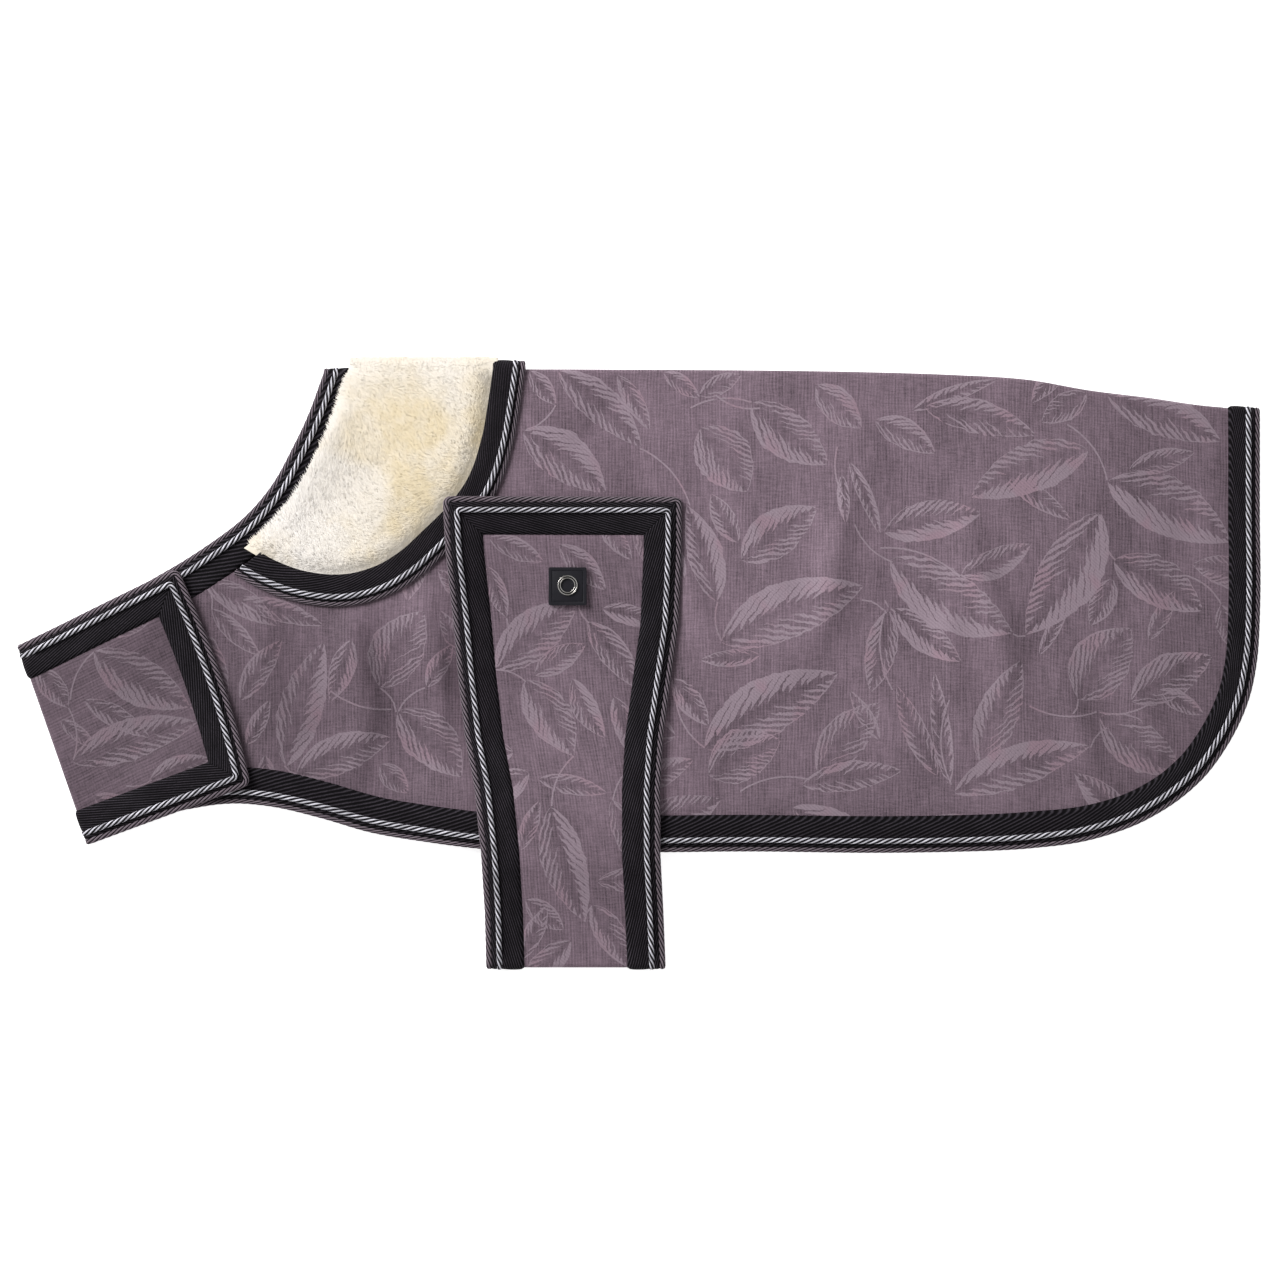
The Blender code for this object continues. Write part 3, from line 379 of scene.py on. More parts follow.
# The chest seam runs from the neck to the hem, and the panel lies on its tail side
SEAM_WAY = (HEM_LINE[0] - NECK_LINE[0]) / norms(HEM_LINE[0] - NECK_LINE[0])
TAILWARDS = np.array((-SEAM_WAY[1], SEAM_WAY[0]))


def past_seam(points):
    """Distance past the chest seam, towards the tail."""
    return (points - NECK_LINE[0]) @ TAILWARDS


def trimmed(line, keep, count):
    """The line's longest stretch where keep is positive, as evenly spaced points."""
    value = keep(line)
    inside = value > 0
    runs, start = [], None
    for i, good in enumerate(np.append(inside, False)):
        if good and start is None:
            start = i
        elif not good and start is not None:
            runs.append((start, i - 1))
            start = None
    first, last = max(runs, key=lambda run: run[1] - run[0])
    points = [line[first:last + 1]]
    if first > 0:
        t = value[first] / (value[first] - value[first - 1])
        points.insert(0, (line[first] + (line[first - 1] - line[first]) * t)[None])
    if last < len(line) - 1:
        t = value[last] / (value[last] - value[last + 1])
        points.append((line[last] + (line[last + 1] - line[last]) * t)[None])
    return evenly(np.vstack(points), count=count)


def read(items, name, width=3, kind=float):
    """A value of each item of a mesh, one row each."""
    values = np.empty(len(items) * width, kind)
    items.foreach_get(name, values)
    return values.reshape(-1, width)


# Heights of the solids


class Relief:
    """A solid's upper or lower face as a smooth field of heights in plan, in millimetres."""

    def __init__(self, node, upper, within, reach=2.5, smooth=1):
        data = bpy.data.objects[node].data
        points = read(data.vertices, "co") / MM
        tree = BVHTree.FromPolygons(points.tolist(), [f.vertices[:] for f in data.polygons])
        low, high = points.min(0), points.max(0)
        self.step = reach
        self.low = low[:2] - 2 * reach
        size = np.ceil((high[:2] + 2 * reach - self.low) / reach).astype(int) + 1
        field = np.full(size, np.nan)
        start, way = (high[2] + 10.0, -1.0) if upper else (low[2] - 10.0, 1.0)
        for i in range(size[0]):
            for j in range(size[1]):
                spot = self.low + reach * np.array((i, j))
                hit = tree.ray_cast(Vector((*spot, start)), Vector((0.0, 0.0, way)))[0]
                if hit is not None:
                    field[i, j] = hit.z
        lines = (self.low[k] + reach * np.arange(size[k]) for k in (0, 1))
        field[~within(np.stack(np.meshgrid(*lines, indexing="ij"), -1))] = np.nan
        self.field = soften(filled(field), smooth)

    def at(self, points):
        """Heights at plan points."""
        spot = (np.asarray(points) - self.low) / self.step
        spot = np.clip(spot, 0.0, np.array(self.field.shape) - 1.001)
        i = spot.astype(int)
        t = spot - i
        f = self.field
        (x, y), (right, up) = np.moveaxis(i, -1, 0), np.moveaxis(t, -1, 0)
        low = f[x, y] * (1 - right) + f[x + 1, y] * right
        high = f[x, y + 1] * (1 - right) + f[x + 1, y + 1] * right
        return low * (1 - up) + high * up


def filled(field):
    """The field with its gaps filled from their neighbours."""
    field = field.copy()
    while np.isnan(field).any():
        wide = np.pad(field, 1, constant_values=np.nan)
        around = np.stack([
            wide[1 + a:wide.shape[0] - 1 + a, 1 + b:wide.shape[1] - 1 + b]
            for a in (-1, 0, 1) for b in (-1, 0, 1) if a or b
        ])
        known = ~np.isnan(around)
        count = known.sum(0)
        mean = np.where(known, around, 0.0).sum(0) / np.maximum(count, 1)
        gap = np.isnan(field) & (count > 0)
        field[gap] = mean[gap]
    return field


def soften(field, times):
    """The field averaged with its neighbours a few times."""
    for _ in range(times):
        wide = np.pad(field, 1, mode="edge")
        field = (wide[:-2, 1:-1] + 2 * wide[1:-1, 1:-1] + wide[2:, 1:-1]) / 4
        wide = np.pad(field, 1, mode="edge")
        field = (wide[1:-1, :-2] + 2 * wide[1:-1, 1:-1] + wide[1:-1, 2:]) / 4
    return field


# Meshes


def raised(plan, height):
    """Plan points at a height."""
    return np.concatenate([plan, np.broadcast_to(np.asarray(height), plan.shape[:-1])[..., None]], -1)


def wrap(plan, upper, lower, lift, out, far_plan=None, far_lift=None):
    """Points on the near side up to a fold, round it and back on the far side.

    plan[i] goes towards the fold. upper and lower give the heights of the two outer faces, and
    lift is how far the points lie outside them.
    """
    far_plan = plan if far_plan is None else far_plan
    far_lift = lift if far_lift is None else far_lift
    lift = np.broadcast_to(np.asarray(lift, float), plan.shape[:-1])
    far_lift = np.broadcast_to(np.asarray(far_lift, float), far_plan.shape[:-1])
    near = raised(plan, upper(plan) + lift)
    far = raised(far_plan, lower(far_plan) - far_lift)
    middle = (near[-1] + far[-1]) / 2
    radius = (near[-1, ..., 2] - far[-1, ..., 2])[..., None] / 2
    turn = np.linspace(math.pi / 2, -math.pi / 2, FOLD_ROWS + 2)[1:-1]
    turn = turn.reshape((-1,) + (1,) * (near.ndim - 1))
    out = np.asarray(out, float)
    fold = middle + radius * (np.cos(turn) * out + np.sin(turn) * np.array((0.0, 0.0, 1.0)))
    return np.concatenate([near, fold, far[::-1]])


def new_mesh(name, points, faces):
    """A smooth shaded object from points in millimetres and faces."""
    data = bpy.data.meshes.new(name)
    data.from_pydata((points * MM).tolist(), [], faces)
    data.shade_smooth()
    made = bpy.data.objects.new(name, data)
    bpy.context.scene.collection.objects.link(made)
    return made


def corner_points(data):
    """The number of each face corner's point."""
    return read(data.loops, "vertex_index", 1, int)[:, 0]


def shell(name, outer, inner, uv, chart=None, faces=None):
    """A closed cloth between an outer and an inner grid of points, joined at its rim.

    uv is a place on the cloth for each point, and chart its place on the unrolled cloth, for the
    woven leaves, all in millimetres. faces are the quads of the grid that the cloth has: all, if
    they aren't given.
    """
    faces = grid_faces(*outer.shape[:2]) if faces is None else faces
    outer, inner, uv = outer.reshape(-1, 3), inner.reshape(-1, 3), uv.reshape(-1, 2) * MM
    used = np.unique(faces)
    number = np.full(len(outer), -1)
    number[used] = np.arange(len(used))
    faces = number[faces]
    count = len(used)
    edges = np.stack([faces, np.roll(faces, -1, axis=1)], -1).reshape(-1, 2)
    key = np.sort(edges, 1) @ np.array((count, 1))
    _, first, times = np.unique(key, return_index=True, return_counts=True)
    rim = edges[first[times == 1]]
    walls = np.stack([rim[:, 1], rim[:, 0], rim[:, 0] + count, rim[:, 1] + count], 1)
    everything = np.vstack([faces, faces[:, ::-1] + count, walls])
    made = new_mesh(name, np.vstack([outer[used], inner[used]]), everything.tolist())
    layer = made.data.uv_layers.new(name="grain")
    layer.data.foreach_set("uv", np.vstack([uv[used], uv[used]])[corner_points(made.data)].ravel())
    face_out(made)
    if chart is not None:
        chart = chart.reshape(-1, 2)[used]
        weave_leaves(made.data, np.vstack([chart, chart]), len(faces), *leaves_of(name, chart))
    return made


def grid_faces(rows, columns, closed=False):
    """Quads of a grid of points, with its columns joined round where closed."""
    i = np.arange(rows - 1)[:, None] * columns
    j = np.arange(columns if closed else columns - 1)[None]
    n = (j + 1) % columns
    return np.stack([i + j, i + n, i + columns + n, i + columns + j], -1).reshape(-1, 4)


def face_out(made):
    """Turns the mesh's faces outwards where its volume says that they point in."""
    data = made.data
    data.calc_loop_triangles()
    a, b, c = read(data.vertices, "co")[read(data.loop_triangles, "vertices", 3, int).T]
    if (a * np.cross(b, c)).sum() < 0:
        data.flip_normals()
    return made


def arc_lengths(grid):
    """Distance along each column of a grid."""
    step = norms(np.diff(grid, axis=0))[..., 0]
    return np.concatenate([np.zeros((1, grid.shape[1])), np.cumsum(step, axis=0)])


def round_fold(near, far):
    """A value for each point of a wrapped grid: the near side's, held round the fold, the far's."""
    return np.concatenate([near, np.repeat(near[-1:], FOLD_ROWS, 0), far[::-1]])


# Where things lie

# A solid's face is read no nearer to its fold or its seam than this, mm
FOLD_MARGIN = 1.0


class Layers:
    """The faces of the cloth solids, shared by the pieces that lie on them."""

    made = None

    def __init__(self):
        self.near = Relief("body_panel", True, below_spine, reach=3.0, smooth=2)
        self.far = Relief("body_panel", False, below_spine, reach=3.0, smooth=2)
        self.belly = Relief("belly_strap", True, above_belly_fold, smooth=2)
        self.belly_under = Relief("belly_strap", False, below_hem)
        self.chest = Relief("chest_strap", True, past_flap_fold, smooth=2)
        self.chest_under = Relief("chest_strap", False, before_seam)
        self.collar = Relief("collar_fleece", True, below_spine)
        self.collar_under = Relief("collar_fleece", False, below_spine)

    @classmethod
    def get(cls):
        if cls.made is None:
            cls.made = cls()
        return cls.made


def below_spine(grid):
    return grid[..., 1] < spine_y(grid[..., 0]) - FOLD_MARGIN


def above_belly_fold(grid):
    return grid[..., 1] > BELLY_FOLD + PLAN_SHIFT[1] + FOLD_MARGIN


def below_hem(grid):
    """On the belly strap's lower run."""
    return above_belly_fold(grid) & (grid[..., 1] - PLAN_SHIFT[1] < BELLY_SEWN_END - FOLD_MARGIN)


def flap_frame():
    """The chest strap's corners and the direction that points out of its fold."""
    fold, end = (np.array(c) + PLAN_SHIFT for c in (CHEST_FOLD, CHEST_END))
    way = (fold[1] - fold[0]) / norms(fold[1] - fold[0])
    out = np.array((way[1], -way[0]))
    return fold, end, (out if out[0] < 0 else -out)


def past_flap_fold(grid):
    fold, _, out = flap_frame()
    return -((grid - fold[0]) @ out) > FOLD_MARGIN


def before_seam(grid):
    """On the chest strap's lower run."""
    return past_flap_fold(grid) & (past_seam(grid) < -FOLD_MARGIN)


def creases(points):
    """Heights of the near half's soft creases: troughs and ridges that bend a little."""
    height = np.zeros(points.shape[:-1])
    for x, y, angle, length, width, rise in CREASES:
        turn = math.radians(angle)
        dx, dy = points[..., 0] - x, points[..., 1] - y
        along = dx * math.cos(turn) + dy * math.sin(turn)
        across = dy * math.cos(turn) - dx * math.sin(turn)
        across = across - CREASE_BEND * length * np.sin(along / length * CREASE_TURN)
        height += rise * np.exp(-((along / length) ** 2) - (across / width) ** 2)
    return height


# x, y, angle, half length, half width and height of each crease of the near half
CREASES = (
    (-146.0, -14.0, 92.0, 50.0, 9.0, -2.8), (-160.0, -60.0, 70.0, 22.0, 5.2, -2.0),
    (-198.0, 8.0, 94.0, 38.0, 9.0, -2.6), (-168.0, -6.0, 87.0, 52.0, 11.0, 6.6),
    (-121.0, 0.0, 95.0, 48.0, 9.5, 5.4), (-205.0, -52.0, 30.0, 24.0, 5.8, -1.5),
    (148.0, 140.0, 104.0, 40.0, 7.5, -2.5), (162.0, 30.0, 88.0, 60.0, 9.2, -3.2),
    (182.0, -50.0, 62.0, 34.0, 6.9, -2.4), (118.0, 60.0, 70.0, 46.0, 10.3, 4.8),
    (210.0, 40.0, 98.0, 50.0, 10.0, 5.2), (268.0, 116.0, 120.0, 40.0, 6.9, -2.4),
    (294.0, 30.0, 80.0, 44.0, 8.0, -2.0), (262.0, -30.0, 100.0, 36.0, 9.2, 4.4),
    (330.0, 0.0, 96.0, 34.0, 6.9, -1.9), (60.0, -60.0, 50.0, 40.0, 8.0, -2.0),
    (84.0, 110.0, 118.0, 34.0, 6.9, -2.0), (36.0, 30.0, 100.0, 38.0, 8.0, 3.6),
    (-60.0, 128.0, 128.0, 26.0, 5.8, -2.2), (-22.0, 148.0, 40.0, 24.0, 5.8, -1.7),
    (120.0, -20.0, 140.0, 30.0, 6.9, -1.7), (240.0, -84.0, 12.0, 40.0, 5.8, -1.5),
    (20.0, -88.0, 174.0, 36.0, 5.8, -1.3), (330.0, 96.0, 74.0, 34.0, 6.9, -1.7),
    (300.0, -20.0, 104.0, 40.0, 8.0, 2.8), (190.0, -10.0, 86.0, 46.0, 8.5, 3.0),
    (70.0, 76.0, 110.0, 36.0, 8.0, 2.6), (-224.0, -2.0, 90.0, 36.0, 11.5, 4.6),
)
CREASE_BEND = 0.12
CREASE_TURN = 2.2
# Where the creases begin and over what length they grow, mm: inwards from the edge, from the
# collar's edge and beside the belly strap, whose middle and half width follow
CREASE_AT, CREASE_EASE = 18.0, 16.0
COLLAR_AT, COLLAR_EASE = 2.0, 12.0
STRAP_EASE = 10.0
BELLY_MIDDLE = -44.0
BELLY_HALF = 66.0
# The cloth is pressed down under its binding and puffed up just inside it, mm
PRESSED, PRESSED_AT, PRESSED_EASE = 0.5, 19.0, 5.0
PUFF, PUFF_AT, PUFF_WIDTH = 0.6, 29.0, 6.0
# Air that stays between the two halves, mm, and how softly a crease stops there
LEAST_AIR = 0.4
SOFT_STOP = 0.6
# The body panel's cut edge lies under its tapes, so far inside the outer lines, mm
CLOTH_EDGE = 6.5
SPINE_HEIGHT = 173.0


def edge_distance(points):
    """Distance inwards from the outer lines of the hem and the neck."""
    hem, _ = nearest(points, HEM_LONG)
    neck, _ = nearest(points, NECK_LONG)
    return np.minimum(hem, -neck)


def near_cloth(points):
    """The near half's outer face: its solid's, with creases, pressed down under its bindings."""
    layers = Layers.get()
    inwards = edge_distance(points)
    depth = bpy.context.scene.coat_cloth.crease
    from_spine = spine_y(points[..., 0]) - points[..., 1]
    fade = ease((inwards - CREASE_AT) / CREASE_EASE) * ease(from_spine / CREASE_EASE)
    # No crease lifts what lies on the cloth: the collar and the belly strap
    fade = fade * ease((nearest(points, COLLAR_LONG)[0] - COLLAR_AT) / COLLAR_EASE)
    strap_x = points[..., 0] - BELLY_MIDDLE
    beside = np.maximum(np.abs(strap_x) - BELLY_HALF, points[..., 1] - BELLY_TOP - PLAN_SHIFT[1])
    fade = fade * ease(beside / STRAP_EASE)
    height = layers.near.at(points) + depth * fade * creases(points)
    height -= PRESSED * (1 - ease((inwards - PRESSED_AT) / PRESSED_EASE))
    puff = np.exp(-(((inwards - PUFF_AT) / PUFF_WIDTH) ** 2))
    height += PUFF * puff * fade
    # The creases stop above the far half
    thick = bpy.context.scene.coat_cloth.thickness / MM
    least = layers.far.at(points) + 2 * thick + LEAST_AIR
    above = height - least
    return np.where(fade > 0, least + (above + np.sqrt(above**2 + SOFT_STOP)) / 2, height)


def near_trim(points):
    """The near half's outer face without creases, which its bindings lie on."""
    return Layers.get().near.at(points)


def far_trim(points):
    """The far half's outer face."""
    return Layers.get().far.at(points)


def inside_binding(points):
    """How far inside the body panel's cut edge points lie, and the way in."""
    hem, hem_foot = nearest(points, HEM_LONG)
    neck, neck_foot = nearest(points, NECK_LONG)
    values = np.stack([hem - CLOTH_EDGE, -neck - CLOTH_EDGE, past_seam(points)], -1)

    def unit(delta, sign):
        return sign[..., None] * delta / np.maximum(norms(delta), 1e-6)

    ways = np.stack([
        unit(points - hem_foot, np.where(hem < 0, -1.0, 1.0)),
        unit(points - neck_foot, np.where(neck > 0, -1.0, 1.0)),
        np.broadcast_to(TAILWARDS, points.shape),
    ], -2)
    least = values.argmin(-1)
    value = np.take_along_axis(values, least[..., None], -1)[..., 0]
    return value, np.take_along_axis(ways, least[..., None, None], -2)[..., 0, :]


def body_panel_cloth():
    """The body panel: near half, spine fold and far half as one closed cloth."""
    settings = bpy.context.scene.coat_cloth
    step = settings.grid / MM
    low_x, high_x = HEM_LINE[:, 0].min() - 30.0, HEM_LINE[:, 0].max() + 2.0
    low_y = HEM_LINE[:, 1].min() - 2.0
    columns = int((high_x - low_x) / step) + 1
    rows = int((SPINE_HEIGHT - low_y) / step) + 1
    x = np.linspace(low_x, high_x, columns)
    share = np.linspace(0.0, 1.0, rows)
    plan = np.empty((rows, columns, 2))
    plan[..., 0] = x
    plan[..., 1] = low_y + (spine_y(x)[None] - low_y) * share[:, None]
    centre = (plan[1:, 1:] + plan[:-1, :-1]) / 2
    keep = inside_binding(centre)[0] > 0
    corner = np.zeros((rows + 1, columns + 1), int)
    corner[1:-1, 1:-1] = keep
    kept = corner[1:, 1:] + corner[1:, :-1] + corner[:-1, 1:] + corner[:-1, :-1]
    full = np.full((rows, columns), 4)
    full[-1] = 2
    rim = (kept > 0) & (kept < full)
    rim[:, [0, -1]] = False
    for _ in range(2):
        value, way = inside_binding(plan[rim])
        move = way * value[:, None]
        top = np.nonzero(rim)[0] == rows - 1
        move[top, 1] = 0.0
        plan[rim] -= move
    plan[-1, :, 1] = spine_y(plan[-1, :, 0])
    thick = settings.thickness / MM
    outer = wrap(plan, near_cloth, far_trim, 0.0, SPINE_OUT)
    inner = wrap(plan, near_cloth, far_trim, -thick, SPINE_OUT)
    wide = np.concatenate([keep, np.tile(keep[-1], (FOLD_ROWS + 1, 1)), keep[::-1]])
    along = arc_lengths(outer)
    uv = np.stack([outer[..., 0], along - along[rows - 1]], -1)
    return shell("body_panel_cloth", outer, inner, uv, unrolled(plan, outer, SPINE_OUT),
                 grid_faces(len(outer), columns)[wide.ravel()])


# Woven leaves on the unrolled cloth


def unrolled(plan, outer, out):
    """Where a wrapped cloth's points lie when it is opened flat in the plane of its near side."""
    along = arc_lengths(outer)
    rows = len(plan)
    beyond = along[rows:] - along[rows - 1]
    return np.concatenate([plan, plan[-1] + beyond[..., None] * np.array(out[:2])])


def charted(spots):
    """Chart units to millimetres in plan."""
    spots = np.asarray(spots, float) * CHART_UNIT
    return CHART_CORNER + PLAN_SHIFT + spots * np.array((1.0, -1.0))


LEAF_CHARTS = {
    "body_panel_cloth": (BODY_LEAVES, BODY_STEMS, 3),
    "belly_strap_cloth": (BELLY_LEAVES, BELLY_STEMS, 5),
    "chest_strap_cloth": (FLAP_LEAVES, FLAP_STEMS, 8),
}


def leaves_of(name, chart):
    """The leaves and stems of a cloth: its table's, and a seeded scatter where it has none."""
    table, stems, seed = LEAF_CHARTS[name]
    rows = np.array(table, float)
    base, tip = charted(rows[:, 0:2]), charted(rows[:, 2:4])
    half, bulge = rows[:, 4] * CHART_UNIT / 2, rows[:, 7] * CHART_UNIT
    leaves = np.column_stack([base, tip, half, rows[:, 5:7], bulge])
    rng = np.random.default_rng(seed)
    low, high = chart.min(0) - 10.0, chart.max(0) + 10.0
    taken = leaf_spots(leaves)
    added = []
    for _ in range(LEAF_TRIES):
        at = rng.uniform(low, high)
        turn, length = rng.uniform(0.0, 2 * math.pi), rng.uniform(*LEAF_LENGTHS)
        end = at + length * np.array((math.cos(turn), math.sin(turn)))
        half = length * rng.uniform(*LEAF_HALVES)
        leaf = np.array([*at, *end, half, rng.choice(LEAF_FULLNESS), rng.choice((-1.0, 1.0)),
                         rng.uniform(-LEAF_BULGE, LEAF_BULGE)])
        spots = leaf_spots(leaf[None])
        gap = norms(taken[:, None, :2] - spots[None, :, :2])[..., 0]
        if (gap - taken[:, None, 2] - spots[None, :, 2]).min() > LEAF_GAP:
            added.append(leaf)
            taken = np.vstack([taken, spots])
    leaves = np.vstack([leaves, *added])
    return leaves, [stem_line(*charted(ends), 1.0 - 2.0 * (k % 2)) for k, ends in enumerate(stems)]


def stem_line(start, end, turn):
    """A stem's line: an arc from one end to the other."""
    way = end - start
    share = np.linspace(0.0, 1.0, max(int(norms(way)[0] / STEM_STEP) + 1, 3))[:, None]
    side = np.array((-way[1], way[0])) * STEM_BEND * turn
    return start + way * share + side * 4 * share * (1 - share)


def leaf_spots(leaves):
    """Discs that cover each leaf: place and radius."""
    share = np.linspace(0.05, 0.95, 7)[None, :, None]
    middle = leaves[:, None, 0:2] + (leaves[:, None, 2:4] - leaves[:, None, 0:2]) * share
    radius = leaves[:, None, 4:5] * 0.9 * np.sin(share * math.pi) ** 0.7
    return np.concatenate([middle, radius], -1).reshape(-1, 3)


def leaf_profile(a):
    """A leaf's width at a share of its length, about 1 at its widest."""
    size, base, tip = LEAF_SHAPE
    a = np.clip(a, 0.001, 0.999)
    return size * a**base * (1 - a) ** tip


def in_leaf(points, leaves):
    """Each point's share of a leaf's length and distance to the left of its midrib, and its length."""
    way = leaves[..., 2:4] - leaves[..., 0:2]
    length = norms(way)[..., 0]
    way = way / length[..., None]
    delta = points - leaves[..., 0:2]
    share = (delta * way).sum(-1) / length
    left = way[..., 0] * delta[..., 1] - way[..., 1] * delta[..., 0]
    left = left - leaves[..., 7] * 4 * share * (1 - share)
    return share, left * -leaves[..., 6], length


def set_corners(data, name, where, values, blank):
    """Gives the corners listed in where a vector each, and all others the blank one."""
    everything = np.tile(blank, (len(data.loops), 1))
    everything[where.ravel()] = values.reshape(-1, 3)
    data.attributes.new(name, "FLOAT_VECTOR", "CORNER").data.foreach_set("vector", everything.ravel())


def weave_leaves(data, chart, outer_faces, leaves, stems):
    """Gives the outer faces' corners their place in the two nearest leaves and the nearest stem."""
    where = read(data.polygons, "loop_start", 1, int)[:outer_faces] + np.arange(4)
    spots = chart[corner_points(data)[where]]
    centre = spots.mean(1)
    share, left, length = in_leaf(centre[:, None], leaves[None])
    beyond = np.maximum(np.maximum(-share, share - 1.0), 0.0) * length
    outside = np.maximum(np.abs(left) - leaf_profile(share) * leaves[None, :, 4], 0.0)
    gap = np.hypot(beyond, outside) + 0.001 * np.abs(left)
    order = np.argsort(gap, 1)
    rows = np.arange(outer_faces)
    for name, rank in (("leaf", 0), ("leaf_b", 1)):
        best = order[:, rank]
        near = gap[rows, best] < LEAF_REACH
        chosen = leaves[best][:, None]
        a, b, size = in_leaf(spots, chosen)
        half = chosen[..., 4] + 0 * a
        seed = (best[:, None] * 0.137 + 0.05 + 0 * a) % 1.0
        place = np.stack([np.where(near[:, None], a, -1.0), b / half, seed], -1)
        sizes = np.stack([size + 0 * a, half, chosen[..., 5] + 0 * a], -1)
        set_corners(data, name, where, place, (-1.0, 0.0, 0.0))
        set_corners(data, f"{name}_size", where, sizes, (-1.0, 0.0, 0.0))
    set_corners(data, "stem", where, on_stems(spots, centre, stems), (0.0, -1.0, 0.0))


def on_stems(spots, centre, stems):
    """Each corner's signed distance to its face's nearest stem, its share of it and half width."""
    faces = len(centre)
    best = np.full(faces, 1e9)
    values = np.zeros((faces, 4, 3))
    values[..., 1] = -1.0
    for stem in stems:
        a, b = stem[:-1], stem[1:]
        way = (b - a) / norms(b - a)
        size = norms(b - a)[:, 0]
        delta = centre[:, None] - a[None]
        along = np.clip((delta * way[None]).sum(-1), 0.0, size[None])
        gap = norms(delta - way[None] * along[..., None])[..., 0]
        piece = gap.argmin(1)
        distance = gap[np.arange(faces), piece]
        closer = (distance < best) & (distance < LEAF_REACH)
        best = np.where(closer, distance, best)
        away = spots - a[piece][:, None]
        line = way[piece][:, None]
        at = line[..., 0] * away[..., 1] - line[..., 1] * away[..., 0]
        share = (away * line).sum(-1) / size[piece][:, None]
        share = np.where((piece > 0)[:, None], np.maximum(share, 0.5), share)
        share = np.where((piece < len(a) - 1)[:, None], np.minimum(share, 0.5), share)
        values[closer] = np.stack([at, share, np.full_like(at, STEM_HALF)], -1)[closer]
    return values


# Straps. A point of a strap lies s across from its left side and d from its fold, mm

# Distance between a strap's points, and how hard its cloth is pressed down beside its tape
STRAP_GRID = 2.6
STRAP_PRESSED = 0.5
# The swelling of its upper face: half its height, how far it begins before the tape's inner edge,
# how soon it is full, and how soon it and the pressing fade, mm
STRAP_SWELL, SWELL_START, SWELL_EASE, FOLD_EASE = 0.5, 3.0, 10.0, 16.0


class BellyStrap:
    """The wide strap that goes under the belly, folded at its lowest line."""

    name = "belly_strap"
    tape_inner = BELLY_TAPE_INNER
    silver_at = BELLY_SILVER_AT
    out = (0.0, -1.0, 0.0)
    length = BELLY_TOP - BELLY_FOLD
    lower_length = BELLY_SEWN_END - BELLY_FOLD

    def sides(self, d):
        table = np.array(BELLY_WIDTHS)
        y = d + BELLY_FOLD
        return np.interp(y, table[:, 0], table[:, 1]), np.interp(y, table[:, 0], table[:, 2])

    def width(self, d, lower=False):
        left, right = self.sides(d)
        return right - left

    def plan(self, s, d, lower=False):
        left, _ = self.sides(d)
        return np.stack([left + s, d + BELLY_FOLD + 0 * s], -1) + PLAN_SHIFT

    def upper(self, points):
        return Layers.get().belly.at(points)

    def lower(self, points):
        return Layers.get().belly_under.at(points)


class ChestStrap:
    """The strap that closes over the chest, wider at its free end."""

    name = "chest_strap"
    tape_inner = CHEST_TAPE_INNER
    silver_at = CHEST_SILVER_AT

    def __init__(self):
        self.fold, self.end, way = flap_frame()
        self.out = (*way, 0.0)
        self.seam = np.stack([NECK_LINE[0], HEM_LINE[0]]) + way * GAP
        self.length = norms(self.end - self.fold).mean()
        self.lower_length = norms(self.seam - self.fold).mean()

    def ends(self, d, lower):
        line, length = (self.seam, self.lower_length) if lower else (self.end, self.length)
        share = np.asarray(d / length)[..., None]
        left = self.fold[0] + (line[0] - self.fold[0]) * share
        right = self.fold[1] + (line[1] - self.fold[1]) * share
        return left, right, share

    def width(self, d, lower=False):
        left, right, _ = self.ends(d, lower)
        return norms(right - left)[..., 0]

    def plan(self, s, d, lower=False):
        s, d = np.broadcast_arrays(np.asarray(s, float), np.asarray(d, float))
        left, right, share = self.ends(d, lower)
        t = s[..., None] / norms(right - left)
        bulge = 0.0 if lower else CHEST_END_BULGE
        return left + (right - left) * t - np.array(self.out[:2]) * bulge * share * 4 * t * (1 - t)

    def upper(self, points):
        return Layers.get().chest.at(points)

    def lower(self, points):
        return Layers.get().chest_under.at(points)


def strap_cloth(strap):
    """A strap's cloth: lower run, fold and upper run, its cut edges under the tape."""
    thick = bpy.context.scene.coat_cloth.thickness / MM
    d = np.linspace(0.0, strap.length - CLOTH_EDGE, int(strap.length / STRAP_GRID))[::-1]
    low_d = np.linspace(0.0, strap.lower_length, int(strap.lower_length / STRAP_GRID))[::-1]
    share = np.linspace(0.0, 1.0, int(strap.width(d).max() / STRAP_GRID))

    def plan_of(stops, lower):
        s = CLOTH_EDGE + (strap.width(stops)[:, None] - 2 * CLOTH_EDGE) * share
        return strap.plan(s, np.broadcast_to(stops[:, None], s.shape), lower), s

    near, near_s = plan_of(d, False)
    far, far_s = plan_of(low_d, True)

    def top(points):
        return strap_top(strap, points, near_s, d)

    outer = wrap(near, top, strap.lower, 0.0, strap.out, far_plan=far)
    inner = wrap(near, top, strap.lower, -thick, strap.out, far_plan=far)
    along = arc_lengths(outer)
    along = along[len(near) - 1] - along
    uv = np.stack([round_fold(near_s, far_s), along], -1)
    return shell(f"{strap.name}_cloth", outer, inner, uv, unrolled(near, outer, strap.out))


